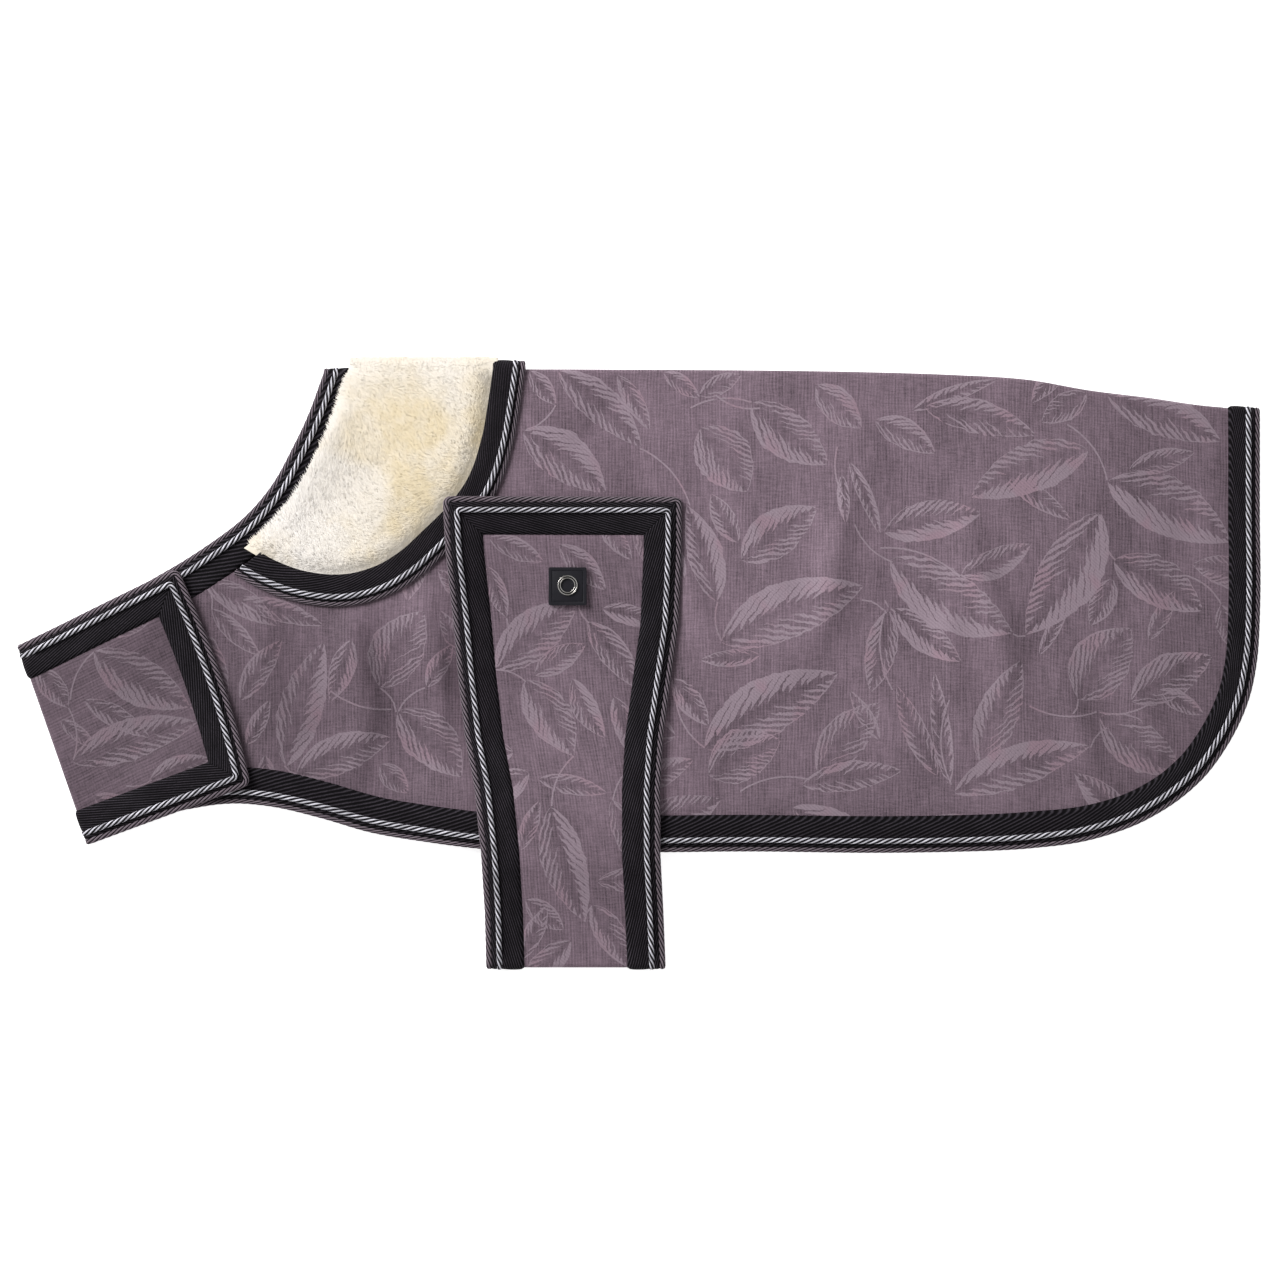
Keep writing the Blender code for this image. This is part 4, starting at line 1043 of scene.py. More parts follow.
def strap_top(strap, points, across, along):
    """A strap's upper face, puffed up inside its binding and a little uneven."""
    sides = np.minimum(across, strap.width(along)[:, None] - across)
    inwards = np.minimum(sides, (strap.length - along)[:, None]) - strap.tape_inner + SWELL_START
    fade = ease(inwards / SWELL_EASE) * ease(along[:, None] / FOLD_EASE)
    x, y = points[..., 0], points[..., 1]
    wave = np.sin(x * 0.055 + y * 0.031) * np.sin(y * 0.062 + 1.0)
    height = strap.upper(points) - STRAP_PRESSED * (1 - ease(inwards / PRESSED_EASE))
    return height + fade * STRAP_SWELL * (1 + wave)


# Tapes

# Columns across a tape, distance between its rows, and depth of the stitches' notches, mm
TAPE_SECTION = 15
TAPE_STEP = 1.6
NOTCH = 0.36
# The tape's top over the cloth's face: its rise, its drops at the inner and the outer edge, its
# swell, its dip under the silver piping and half that dip's width, mm
TAPE_RISE, INNER_DROP, OUTER_DROP, TAPE_SWELL, SILVER_DIP, DIP_HALF = 1.15, 0.9, 0.45, 0.28, 0.25, 2.2
# How much flatter a tape's far side is, mm, and samples of a line whose length is wanted
FAR_SIDE = 0.25
LINE_SAMPLES = 400


def tape_lift(share, inwards, silver_at, inner, along):
    """How far the tape's top lies above the cloth's face, from its outer to its inner edge.

    It drops at both edges, swells inside the silver piping and dips under it.
    """
    rise = TAPE_RISE - INNER_DROP * np.exp(-(((1.0 - share) / 0.045) ** 2))
    rise = rise - OUTER_DROP * np.exp(-((share / 0.05) ** 2))
    swell = np.clip((inwards - silver_at - 2.0) / (inner - silver_at - 2.0), 0, 1)
    rise = rise + TAPE_SWELL * np.sin(swell * math.pi)
    rise = rise - SILVER_DIP * np.exp(-(((inwards - silver_at) / DIP_HALF) ** 2))
    return rise - NOTCH * notches(along) * np.exp(-(((1.0 - share) / 0.12) ** 2))


def notches(along):
    """A stitch's pull at the tape's inner edge, 1 at a stitch and 0 between two."""
    pitch = bpy.context.scene.coat_trim.stitch / MM
    return np.exp(-((((along / pitch) % 1.0) - 0.5) / 0.20) ** 2)


def tape_shares():
    """Where the tape's columns stand, as shares of its width, a little closer in its middle."""
    share = np.linspace(0.0, 1.0, TAPE_SECTION)
    return share + 0.035 * np.sin(2 * math.pi * share)


def tape_mesh(name, plan, inwards, upper, lower, silver_at, inner, out,
              far_plan=None, far_inwards=None):
    """A tape over a bound edge, from its near end round the fold to its far end."""
    thick = bpy.context.scene.coat_trim.tape_thickness / MM

    def lifts(points, distance):
        return tape_lift(tape_shares(), distance, silver_at, inner, arc_lengths(points)[:, -1:])

    lift = lifts(plan, inwards)
    far_plan = plan if far_plan is None else far_plan
    far_inwards = inwards if far_inwards is None else far_inwards
    far_lift = lifts(far_plan, far_inwards) - FAR_SIDE
    outer = wrap(plan, upper, lower, lift, out, far_plan, far_lift)
    under = wrap(plan, upper, lower, np.minimum(lift - thick, 0.0), out, far_plan,
                 np.minimum(far_lift - thick, 0.0))
    uv = np.stack([arc_lengths(outer), round_fold(inwards, far_inwards)], -1)
    return face_out(shell(name, outer, under, uv))


def edge_band(edge, count):
    """Plan points of a tape along a bound edge, its rows from the first end to the spine."""
    columns, inwards = [], []
    outer_at = EDGE_CORD - TUCK
    for t in tape_shares():
        distance = outer_at + (edge["inner"] - outer_at) * t
        columns.append(trimmed(offset(edge["line"], edge["sign"] * distance), edge["keep"], count))
        inwards.append(np.full(count, np.median(distance)))
    return np.stack(columns, 1), np.stack(inwards, 1)


def within_panel(points):
    """Positive on the body panel, between the chest seam and the spine."""
    return np.minimum(past_seam(points), spine_y(points[..., 0]) - points[..., 1])


def within_collar(points):
    """Positive on the collar, between the neck's tape and the spine."""
    neck = -nearest(points, NECK_LONG)[0]
    above = spine_y(points[..., 0]) + COLLAR_RISE - points[..., 1]
    return np.minimum(neck - TAPE_INNER - TAPE_CLEAR, above)


def hem_inner():
    """The hem tape's width at each point of its line, narrowing towards the tail."""
    x = HEM_LONG[:, 0] - PLAN_SHIFT[0]
    return TAPE_INNER + (TAIL_TAPE_INNER - TAPE_INNER) * ease((x - TAIL_START) / TAIL_EASE)


def edges_of_body():
    """For each bound edge of the body and collar: its line, side, tape and cords."""
    return {
        "hem": dict(line=HEM_LONG, sign=1.0, inner=hem_inner(), silver=SILVER_AT, keep=within_panel,
                    near=near_trim, far=far_trim),
        "neck": dict(line=NECK_LONG, sign=-1.0, inner=TAPE_INNER, silver=SILVER_AT, keep=within_panel,
                     near=near_trim, far=far_trim),
        "collar": dict(line=COLLAR_LONG[::-1], sign=1.0, inner=COLLAR_TAPE_INNER,
                       silver=COLLAR_SILVER_AT, keep=within_collar, near=collar_trim,
                       far=collar_far_trim),
    }


def collar_trim(points):
    return Layers.get().near.at(points) + COLLAR_SEAT


def collar_far_trim(points):
    return Layers.get().far.at(points) - COLLAR_SEAT


def body_tape(name):
    """The tape of the hem, the neck or the collar."""
    edge = edges_of_body()[name]
    length = distances(trimmed(edge["line"], edge["keep"], LINE_SAMPLES))[-1]
    plan, inwards = edge_band(edge, int(length / TAPE_STEP))
    return tape_mesh(f"{name}_tape_twill", plan, inwards, edge["near"], edge["far"], edge["silver"],
                     float(np.median(edge["inner"])), SPINE_OUT)


def tape_columns(strap):
    """Distances of a strap's tape's columns from the strap's outer line."""
    outer_at = STRAP_CORD - TUCK
    return outer_at + (strap.tape_inner - outer_at) * tape_shares()


def strap_band(strap, side):
    """Plan points of one side of a strap's tape: side is left or right, upper and lower runs."""
    s = tape_columns(strap)
    d = np.linspace(1.0, 0.0, int(strap.length / TAPE_STEP))[:, None] * (strap.length - s)
    low_d = np.linspace(strap.lower_length, 0.0, int(strap.lower_length / TAPE_STEP))
    low_d = np.broadcast_to(low_d[:, None], (len(low_d), len(s)))

    def placed(depth, lower):
        inwards = np.broadcast_to(s, depth.shape)
        across = inwards if side == "left" else strap.width(depth, lower) - inwards
        return strap.plan(across, depth, lower), inwards

    return *placed(d, False), *placed(low_d, True)


def strap_tape(strap):
    """A strap's tape: two sides that go round the fold and the free end, mitred at the corners."""
    parts = []
    for side in ("left", "right"):
        plan, inwards, far, far_in = strap_band(strap, side)
        parts.append(tape_mesh(f"{strap.name}_tape_{side}", plan, inwards, strap.upper, strap.lower,
                               strap.silver_at, strap.tape_inner, strap.out, far, far_in))
    parts.append(strap_end_tape(strap))
    bpy.ops.object.select_all(action="DESELECT")
    for part in parts:
        part.select_set(True)
    bpy.context.view_layer.objects.active = parts[0]
    bpy.ops.object.join()
    joined = bpy.context.view_layer.objects.active
    joined.name = joined.data.name = f"{strap.name}_tape_twill"
    return joined


def strap_end_tape(strap):
    """The tape across a strap's free end, between the two mitres."""
    thick = bpy.context.scene.coat_trim.tape_thickness / MM
    s = tape_columns(strap)
    t = np.linspace(0.0, 1.0, int(strap.width(strap.length) / TAPE_STEP))[:, None]
    depth = np.broadcast_to(strap.length - s, (len(t), len(s)))
    plan = strap.plan(s + t * (strap.width(depth) - 2 * s), depth)
    along = arc_lengths(plan)
    lift = tape_lift(tape_shares(), s[None], strap.silver_at, strap.tape_inner, along[:, -1:])
    top = strap.upper(plan)
    inner = raised(plan, top + np.minimum(lift - thick, 0.0))
    uv = np.stack([along, np.broadcast_to(s, along.shape)], -1)
    return face_out(shell(f"{strap.name}_tape_end", raised(plan, top + lift), inner, uv))


# Twisted cords


# Strands, height of the section, depth of the furrows, distance between the rings and height of
# the middle over the cloth's face, mm
SILVER_STRANDS, SILVER_HEIGHT, SILVER_FURROW, SILVER_STEP, SILVER_LIFT = 4, 2.6, 0.16, 1.1, 2.25
GREY_STRANDS, GREY_HEIGHT, GREY_FURROW, GREY_STEP, GREY_LIFT = 6, 3.2, 0.3, 1.2, -0.5
STRAP_GREY_HEIGHT = 3.4
GREY_LAY = 28.0
# Radius of the bends at a strap's two corners, mm
SILVER_TURN, GREY_TURN = 2.0, 2.9
# Where the silver piping ends at a fold: how low, over what length it sinks, and how far round
CORD_END_LIFT = 0.5
CORD_END_EASE = 9.0
CORD_END_ROWS = 3
# Distance between a path's points before it is resampled, and points of a strap's runs and end
PATH_STEP = 1.5
RUN_POINTS, LOWER_POINTS, END_POINTS, TURN_POINTS = 160, 60, 90, 10


def twisted(name, path, up, width, height, strands, lay, depth):
    """A twisted cord of an oval section along a path. Its UV follows the strands."""
    sides = max(3, 16 // strands) * strands
    along = distances(path)
    tangent = np.gradient(path, axis=0)
    tangent /= norms(tangent)
    side = np.cross(tangent, up)
    side /= norms(side)
    rise = np.cross(side, tangent)
    turn = np.linspace(0.0, 2 * math.pi, sides, endpoint=False)
    twist = 2 * math.pi * along / lay
    lobe = np.abs(np.sin(strands * (turn[None] - twist[:, None]) / 2))
    size = 1 - depth + depth * lobe**0.7
    x = size * np.cos(turn) * width / 2
    y = size * np.sin(turn) * height / 2
    grid = path[:, None] + side[:, None] * x[..., None] + rise[:, None] * y[..., None]
    rows = len(path)
    faces = grid_faces(rows, sides, closed=True).tolist()
    ends = np.stack([path[0] - tangent[0] * 0.3, path[-1] + tangent[-1] * 0.3])
    first, last, base = rows * sides, rows * sides + 1, (rows - 1) * sides
    near_cap = [(first, (k + 1) % sides, k) for k in range(sides)]
    far_cap = [(last, base + k, base + (k + 1) % sides) for k in range(sides)]
    made = new_mesh(name, np.vstack([grid.reshape(-1, 3), ends]), faces + near_cap + far_cap)
    index = corner_points(made.data)
    u = np.concatenate([np.repeat(along, sides), [along[0], along[-1]]])[index] * MM
    v = np.concatenate([np.tile(turn, rows), [0.0, 0.0]])[index] / (2 * math.pi)
    # The last quads of each ring end at 1 and not at 0
    corner = np.arange(len(index))
    wraps = (corner < len(faces) * 4) & (index % sides == 0) & np.isin(corner % 4, (1, 2))
    layer = made.data.uv_layers.new(name="strand")
    layer.data.foreach_set("uv", np.stack([u, np.where(wraps, 1.0, v)], 1).ravel())
    return face_out(made)


def wrapped_path(plan, upper, lower, lift, out, far_plan=None, near_only=False):
    """A path and its up vectors, from the near end round the fold.

    A path on the near side alone sinks into the tape as it turns over the fold, and ends there.
    """
    far_plan = None if far_plan is None else far_plan[:, None]
    far_lift, stop = lift, None
    if near_only:
        gap = distances(plan)[-1] - distances(plan)
        lift = (CORD_END_LIFT + (lift - CORD_END_LIFT) * ease(gap / CORD_END_EASE))[:, None]
        far_lift, stop = CORD_END_LIFT, len(plan) + CORD_END_ROWS
    low, high = (
        wrap(plan[:, None], upper, lower, lift + more, out, far_plan, far_lift + more)[:stop, 0]
        for more in (0.0, 0.5))
    return low, (high - low) / norms(high - low)


def resampled(path, up, step):
    """The path and its up vectors at an even spacing."""
    both = np.concatenate([path, up], 1)
    along = distances(path)
    keep = np.append(True, np.diff(along) > 1e-6)
    both, along = both[keep], along[keep]
    stops = np.linspace(0.0, along[-1], int(along[-1] / step) + 1)
    both = np.stack([np.interp(stops, along, both[:, k]) for k in range(6)], 1)
    up = both[:, 3:] / norms(both[:, 3:])
    return both[:, :3], up


def body_path(name, at, lift, near_only):
    """A path along the hem, the neck or the collar's edge, at a distance inside its outer line."""
    edge = edges_of_body()[name]
    line = offset(edge["line"], edge["sign"] * at)
    length = distances(trimmed(line, edge["keep"], LINE_SAMPLES))[-1]
    plan = trimmed(line, edge["keep"], int(length / PATH_STEP))
    return wrapped_path(plan, edge["near"], edge["far"], lift, SPINE_OUT, near_only=near_only)


def strap_path(strap, at, lift, radius, near_only):
    """A path round a strap's sides and free end, at a distance inside its outer line."""
    def side(left):
        d = np.linspace(strap.length - at - radius, 0.0, RUN_POINTS)
        low = np.linspace(strap.lower_length, 0.0, LOWER_POINTS)
        near, far = (
            strap.plan((at if left else strap.width(stops, lower) - at) + 0 * stops, stops, lower)
            for stops, lower in ((d, False), (low, True)))
        return wrapped_path(near, strap.upper, strap.lower, lift, strap.out, far, near_only)

    left, left_up = side(True)
    right, right_up = side(False)
    turn = np.linspace(0.0, math.pi / 2, TURN_POINTS)[1:-1]
    d = strap.length - at - radius + radius * np.sin(turn)
    s = at + radius - radius * np.cos(turn)
    first = strap.plan(s, d)
    second = strap.plan(strap.width(d) - s, d)[::-1]
    full = float(strap.width(strap.length - at))
    across = np.linspace(at + radius, full - at - radius, END_POINTS)
    end = strap.plan(across, np.full(END_POINTS, strap.length - at))
    middle = np.concatenate([first, end, second])
    top = raised(middle, strap.upper(middle) + lift)
    path = np.concatenate([left[::-1], top, right])
    up = np.concatenate([left_up[::-1], np.tile((0.0, 0.0, 1.0), (len(top), 1)), right_up])
    return path, up


# The pile collar

# Height of the tufts over the pile's body, over what length the body rises from the neck's tape
# and from the collar's, and thickness of the backing, mm
PILE_BELOW_TOP = 4.2
PILE_EDGE = 7.0
PILE_TAPE_EDGE = 17.0
PILE_BACKING = 1.4
# Where the body sits: over the panel, over the neck's tape, over the floor, and how far its fold
# is moved at most, mm
PILE_SEAT, ON_TAPE, PILE_LOWEST, FOLD_MOVED = 0.4, 1.3, 0.2, 4.0
UNDER_COLLAR_TAPE = 3.0
COLLAR_ROWS, COLLAR_COLUMNS, COLLAR_WIDTH = 70, 34, 80.0


def from_neck_tape(points):
    """Distance inwards from the pile's side on the neck's tape."""
    return -nearest(points, NECK_LONG)[0] - TAPE_INNER + PILE_OVER_TAPE


def from_collar_tape(points):
    """Distance inwards from the collar's tape."""
    return -nearest(points, COLLAR_LONG)[0] - COLLAR_TAPE_INNER


def below_pile_fold(points):
    return spine_y(points[..., 0]) + COLLAR_RISE - points[..., 1]


def collar_sides(count):
    """The pile's side on the neck tape and its side under the collar's tape, from tip to spine."""
    neck_side = trimmed(
        offset(NECK_LONG, PILE_OVER_TAPE - TAPE_INNER),
        lambda p: np.minimum(from_collar_tape(p) + 0.5, below_pile_fold(p)), count)
    tape_side = trimmed(
        offset(COLLAR_LONG[::-1], COLLAR_TAPE_INNER - UNDER_COLLAR_TAPE),
        lambda p: np.minimum(from_neck_tape(p), below_pile_fold(p)), count)
    return neck_side, tape_side


def lumps(points):
    """Soft unevenness of the pile, about 1 at most."""
    x, y = points[..., 0], points[..., 1]
    return (np.sin(x * 0.31 + 1.3 * np.sin(y * 0.11)) * np.sin(y * 0.27 + 0.8 * np.sin(x * 0.14))
            + 0.6 * np.sin(x * 0.13 - y * 0.17 + 0.7) + 0.5 * np.sin(x * 0.52 + y * 0.47 + 2.0)) / 2.1


def pile_edge(points):
    """1 well inside the pile, easing to 0 at its two sides."""
    tape = from_collar_tape(points) + 1.5
    return ease(0.12 + from_neck_tape(points) / PILE_EDGE) * ease(0.25 + tape / PILE_TAPE_EDGE)


def on_neck_tape(points):
    """How far the neck tape lifts what lies on it."""
    return ON_TAPE * (1 - ease((-nearest(points, NECK_LONG)[0] - TAPE_INNER) / 3.0))


def pile_top(points):
    """The pile's body's upper face."""
    layers = Layers.get()
    seat = layers.near.at(points) + PILE_SEAT + on_neck_tape(points)
    full = np.maximum(layers.collar.at(points) - PILE_BELOW_TOP, seat)
    return seat + (full - seat) * pile_edge(points) * (1 + 0.11 * lumps(points))


def pile_under(points):
    """The pile's body's lower face."""
    layers = Layers.get()
    seat = layers.far.at(points) - PILE_SEAT - on_neck_tape(points)
    full = np.minimum(layers.collar_under.at(points) + 0.6, seat)
    return np.maximum(seat + (full - seat) * pile_edge(points), PILE_LOWEST)


def square_fold(ends):
    """How far the ends move so that the fold reaches equally far where the pile is lower."""
    radius = (pile_top(ends) - pile_under(ends)) / 2
    return np.clip(radius.max() - radius, 0.0, FOLD_MOVED)


def collar_lining():
    """The collar's backing with its pile's body, from one tip round the spine to the other."""
    neck_side, tape_side = collar_sides(COLLAR_ROWS)
    share = np.linspace(0.0, 1.0, COLLAR_COLUMNS)
    share = share - 0.06 * np.sin(2 * math.pi * share)
    plan = neck_side[:, None] + (tape_side - neck_side)[:, None] * share[None, :, None]
    near_fold = ease((plan[..., 1] - plan[-1, :, 1]) / 14.0 + 1.0)
    plan[..., 1] += near_fold * square_fold(plan[-1])
    outer = wrap(plan, pile_top, pile_under, 0.0, SPINE_OUT)
    inner = wrap(plan, pile_top, pile_under, -PILE_BACKING, SPINE_OUT)
    along = arc_lengths(outer)
    across = np.broadcast_to(share * COLLAR_WIDTH, along.shape)
    made = face_out(shell("collar_lining", outer, inner, np.stack([across, along], -1)))
    set_points(made, "nap", raised_nap(read(made.data.vertices, "normal")))
    return made


def tuft_roots(rng, count, far_count):
    """Roots and surface normals of the tufts: near side, spine and the far side's neck edge."""
    def spread(wanted, widest):
        found = []
        total = 0
        while total < wanted:
            points = rng.uniform(*TUFT_BOX, (4 * wanted, 2))
            neck = from_neck_tape(points)
            good = (neck > 0.3) & (neck < widest) & (from_collar_tape(points) > 0.2)
            good &= below_pile_fold(points) > 0
            found.append(points[good])
            total += good.sum()
        return np.concatenate(found)[:wanted]

    near = spread(count, np.inf)
    far = spread(far_count, FAR_TUFTS_WIDE)

    def normals(points, height, sign):
        steps = NORMAL_STEP * np.eye(2)
        gx, gy = ((height(points + step) - height(points - step)) / (2 * NORMAL_STEP) for step in steps)
        way = np.stack([-gx * sign, -gy * sign, np.full(len(points), sign)], 1)
        return way / norms(way)

    near_root, far_root = raised(near, pile_top(near)), raised(far, pile_under(far))
    near_up, far_up = normals(near, pile_top, 1.0), normals(far, pile_under, -1.0)
    fold_count = count // PER_FOLD_TUFT
    neck_side, tape_side = collar_sides(80)
    share = rng.uniform(0.0, 1.0, fold_count)
    ends = neck_side[-1] + (tape_side[-1] - neck_side[-1]) * share[:, None]
    turn = np.radians(rng.uniform(-70.0, 90.0, fold_count))
    top, low = pile_top(ends), pile_under(ends)
    ends = ends + np.outer(square_fold(ends), (0.0, 1.0))
    fold_up = np.stack([0 * turn, np.cos(turn), np.sin(turn)], 1)
    fold_root = raised(ends, (top + low) / 2) + fold_up * ((top - low) / 2)[:, None]
    return np.concatenate([near_root, fold_root, far_root]), np.concatenate([near_up, fold_up, far_up])


def raised_nap(ups):
    """The way that the pile's tips face: mostly straight up on its upper side."""
    nap = ups * NAP_FOLLOWS
    nap[:, 2] += np.where(ups[:, 2] > -0.2, 1.0, 0.0)
    return nap / norms(nap)


def turned(ways, turn):
    """Ways in plan turned to the left."""
    x, y = ways[:, 0], ways[:, 1]
    cos, sin = np.cos(turn), np.sin(turn)
    return np.stack([x * cos - y * sin, x * sin + y * cos], 1)


def lean_field(points):
    """The way that the pile lies in plan: towards the neck edge, turning slowly."""
    _, foot = nearest(points, NECK_LONG)
    way = foot - points
    way = way / np.maximum(norms(way), 1e-6)
    x, y = points[:, 0], points[:, 1]
    return turned(way, 0.5 * np.sin(x * 0.045 + 0.9) + 0.5 * np.sin(y * 0.06 - x * 0.02) - 0.35)


# Where roots are tried, mm, shares of the tufts on the near and the far side, one tuft on the
# fold for so many on the near side, and how wide the far side's strip of tufts is, mm
TUFT_BOX = (np.array((-255.0, 30.0)) + PLAN_SHIFT, np.array((-70.0, 177.0)) + PLAN_SHIFT)
NEAR_SHARE, FAR_SHARE, PER_FOLD_TUFT, FAR_TUFTS_WIDE = 0.83, 0.08, 12, 6.0
NORMAL_STEP = 0.6
# A tuft: spread of its lean, radians, its length's share, tilt and its spread, degrees, half
# width, how deep its root sits and how low its tip may reach, mm
LEAN_SPREAD = 0.42
TUFT_SHARES, TUFT_TILT, TUFT_WIDTHS = (0.6, 1.15), (57.0, 8.0), (0.36, 0.60)
TUFT_DEPTH, TIP_LOWEST = 0.5, 0.15
# How much the nap follows the surface and the tuft's lean, and its own unevenness
NAP_FOLLOWS, NAP_LEAN, NAP_SPREAD = 0.25, 0.16, 0.06


def collar_pile():
    """The pile's tufts: bent three-sided points, leaning over one another."""
    settings = bpy.context.scene.coat_pile
    rng = np.random.default_rng(7)
    roots, ups = tuft_roots(rng, int(settings.tufts * NEAR_SHARE), int(settings.tufts * FAR_SHARE))
    count = len(roots)
    plan = roots[:, :2]
    lean = raised(turned(lean_field(plan), rng.normal(0.0, LEAN_SPREAD, count)), 0.0)
    lean -= ups * (lean * ups).sum(1, keepdims=True)
    lean /= np.maximum(norms(lean), 1e-6)
    length = settings.length / MM * rng.uniform(*TUFT_SHARES, count)
    tilt = np.radians(rng.normal(*TUFT_TILT, count))
    # Tufts are shorter at the pile's sides and past the spine
    inwards = np.minimum(from_neck_tape(plan) + 1.0, from_collar_tape(plan) + 0.5)
    length *= 0.45 + 0.55 * ease(inwards / 6.0)
    length *= 1.0 - 0.6 * ease((roots[:, 1] - spine_y(roots[:, 0]) + 4.0) / 6.0)
    side = np.cross(ups, lean)
    width = rng.uniform(*TUFT_WIDTHS, count)

    base = roots - ups * TUFT_DEPTH
    tip = roots + length[:, None] * (np.sin(tilt)[:, None] * lean + np.cos(tilt)[:, None] * ups)
    tip[:, 2] = np.maximum(tip[:, 2], TIP_LOWEST)
    rings = []
    for k in range(3):
        turn = 2 * math.pi * k / 3 + math.pi / 2
        rings.append(base + width[:, None] * (math.cos(turn) * side + math.sin(turn) * ups * 0.8))
    points = np.stack([*rings, tip], 1)
    first = np.arange(count)[:, None] * 4
    faces = first[:, None] + np.array(((0, 1, 3), (1, 2, 3), (2, 0, 3), (2, 1, 0)))
    made = new_mesh("collar_pile", points.reshape(-1, 3), faces.reshape(-1, 3).tolist())
    luck = np.repeat(rng.uniform(0.0, 1.0, (count, 2)), 4, 0)
    set_points(made, "tuft", np.column_stack([np.tile((0.0, 0.0, 0.0, 1.0), count), luck]))
    nap = raised_nap(ups) + lean * NAP_LEAN + rng.normal(0.0, NAP_SPREAD, (count, 3))
    set_points(made, "nap", np.repeat(nap / norms(nap), 4, 0))
    return face_out(made)


def set_points(made, name, values):
    """Gives each point of the mesh a vector."""
    layer = made.data.attributes.new(name, "FLOAT_VECTOR", "POINT")
    layer.data.foreach_set("vector", np.asarray(values, float).ravel())


# The patch and its ring, in metres

# Width and depth of each inset that presses the patch's border line
PATCH_BORDER = ((0.0005, 0.0), (0.0012, 0.0), (0.0002, -0.0003), (0.0005, 0.0), (0.0002, 0.0003))
PATCH_CORNER = 0.0010
RING_WIDTH = 0.0019
RING_LINE_AT, RING_LINE_WIDTH, RING_LINE_DEPTH = 0.0006, 0.0001, 0.00035


def cad_spot(node):
    """The centre and the size of a CAD node's box."""
    low, high = (np.array(corner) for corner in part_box(node))
    return (low + high) / 2, high - low


def rounded(made, width, segments, angle, smooth_angle):
    """Rounds the edges that turn more than an angle, and shades the faces smooth."""
    soft = made.modifiers.new("soft", "BEVEL")
    soft.width = width
    soft.segments = segments
    soft.limit_method = "ANGLE"
    soft.angle_limit = math.radians(angle)
    bpy.ops.object.modifier_apply(modifier="soft")
    bpy.ops.object.shade_smooth_by_angle(angle=math.radians(smooth_angle))
    return made


def pick_faces(made, wanted):
    """Selects the faces whose normal's height is wanted, in edit mode."""
    bpy.ops.object.mode_set(mode="EDIT")
    bpy.ops.mesh.select_all(action="DESELECT")
    bpy.ops.object.mode_set(mode="OBJECT")
    for face in made.data.polygons:
        face.select = wanted(face.normal.z)
    bpy.ops.object.mode_set(mode="EDIT")
    bpy.ops.mesh.select_mode(type="FACE")


def make_patch():
    """A coated patch with a pressed border line and soft corners."""
    centre, size = cad_spot("patch")
    bpy.ops.object.select_all(action="DESELECT")
    bpy.ops.mesh.primitive_cube_add(size=1.0, location=centre.tolist())
    made = bpy.context.active_object
    made.name = made.data.name = "patch_leather"
    made.scale = size
    bpy.ops.object.transform_apply(location=True, rotation=False, scale=True)
    pick_faces(made, lambda z: z > 0.9)
    for thickness, depth in PATCH_BORDER:
        bpy.ops.mesh.inset(thickness=thickness, depth=depth)
    bpy.ops.mesh.select_mode(type="EDGE")
    bpy.ops.mesh.select_all(action="DESELECT")
    bpy.ops.object.mode_set(mode="OBJECT")
    # The four upright edges are the ones longer than any step of the border
    for edge in made.data.edges:
        a, b = (made.data.vertices[i].co for i in edge.vertices)
        edge.select = abs(a.z - b.z) > 0.0008
    bpy.ops.object.mode_set(mode="EDIT")
    bpy.ops.mesh.bevel(offset=PATCH_CORNER, segments=4, affect="EDGES")
    bpy.ops.object.mode_set(mode="OBJECT")
    return rounded(made, 0.00015, 2, 35.0, 35.0)


def make_ring():
    """A plain polished ring: a disc's rim, opened and rounded."""
    centre, size = cad_spot("patch_ring")
    bpy.ops.object.select_all(action="DESELECT")
    bpy.ops.mesh.primitive_cylinder_add(
        vertices=96, radius=size[0] / 2, depth=size[2], location=centre.tolist())
    made = bpy.context.active_object
    made.name = made.data.name = "patch_ring_metal"
    bpy.ops.object.transform_apply(location=True, rotation=False, scale=True)
    pick_faces(made, lambda z: abs(z) > 0.9)
    bpy.ops.mesh.inset(thickness=RING_WIDTH)
    bpy.ops.mesh.bridge_edge_loops()
    pick_faces(made, lambda z: z > 0.9)
    bpy.ops.mesh.inset(thickness=RING_LINE_AT)
    bpy.ops.mesh.inset(thickness=RING_LINE_WIDTH, depth=-RING_LINE_DEPTH)
    bpy.ops.object.mode_set(mode="OBJECT")
    return rounded(made, 0.00022, 3, 40.0, 50.0)


# Node maths


def sum_of(operation):
    """A Python operator that adds the maths node of this operation."""
    return lambda wire, other: wire.board.math(operation, wire, other)


class Wire:
    """A socket in a node tree that can be used in sums."""

    def __init__(self, board, socket):
        self.board, self.socket = board, socket

    def __rsub__(self, other):
        return self.board.math("SUBTRACT", other, self)

    __add__ = __radd__ = sum_of("ADD")
    __mul__ = __rmul__ = sum_of("MULTIPLY")
    __sub__, __truediv__, __pow__ = sum_of("SUBTRACT"), sum_of("DIVIDE"), sum_of("POWER")
    __gt__, __lt__ = sum_of("GREATER_THAN"), sum_of("LESS_THAN")


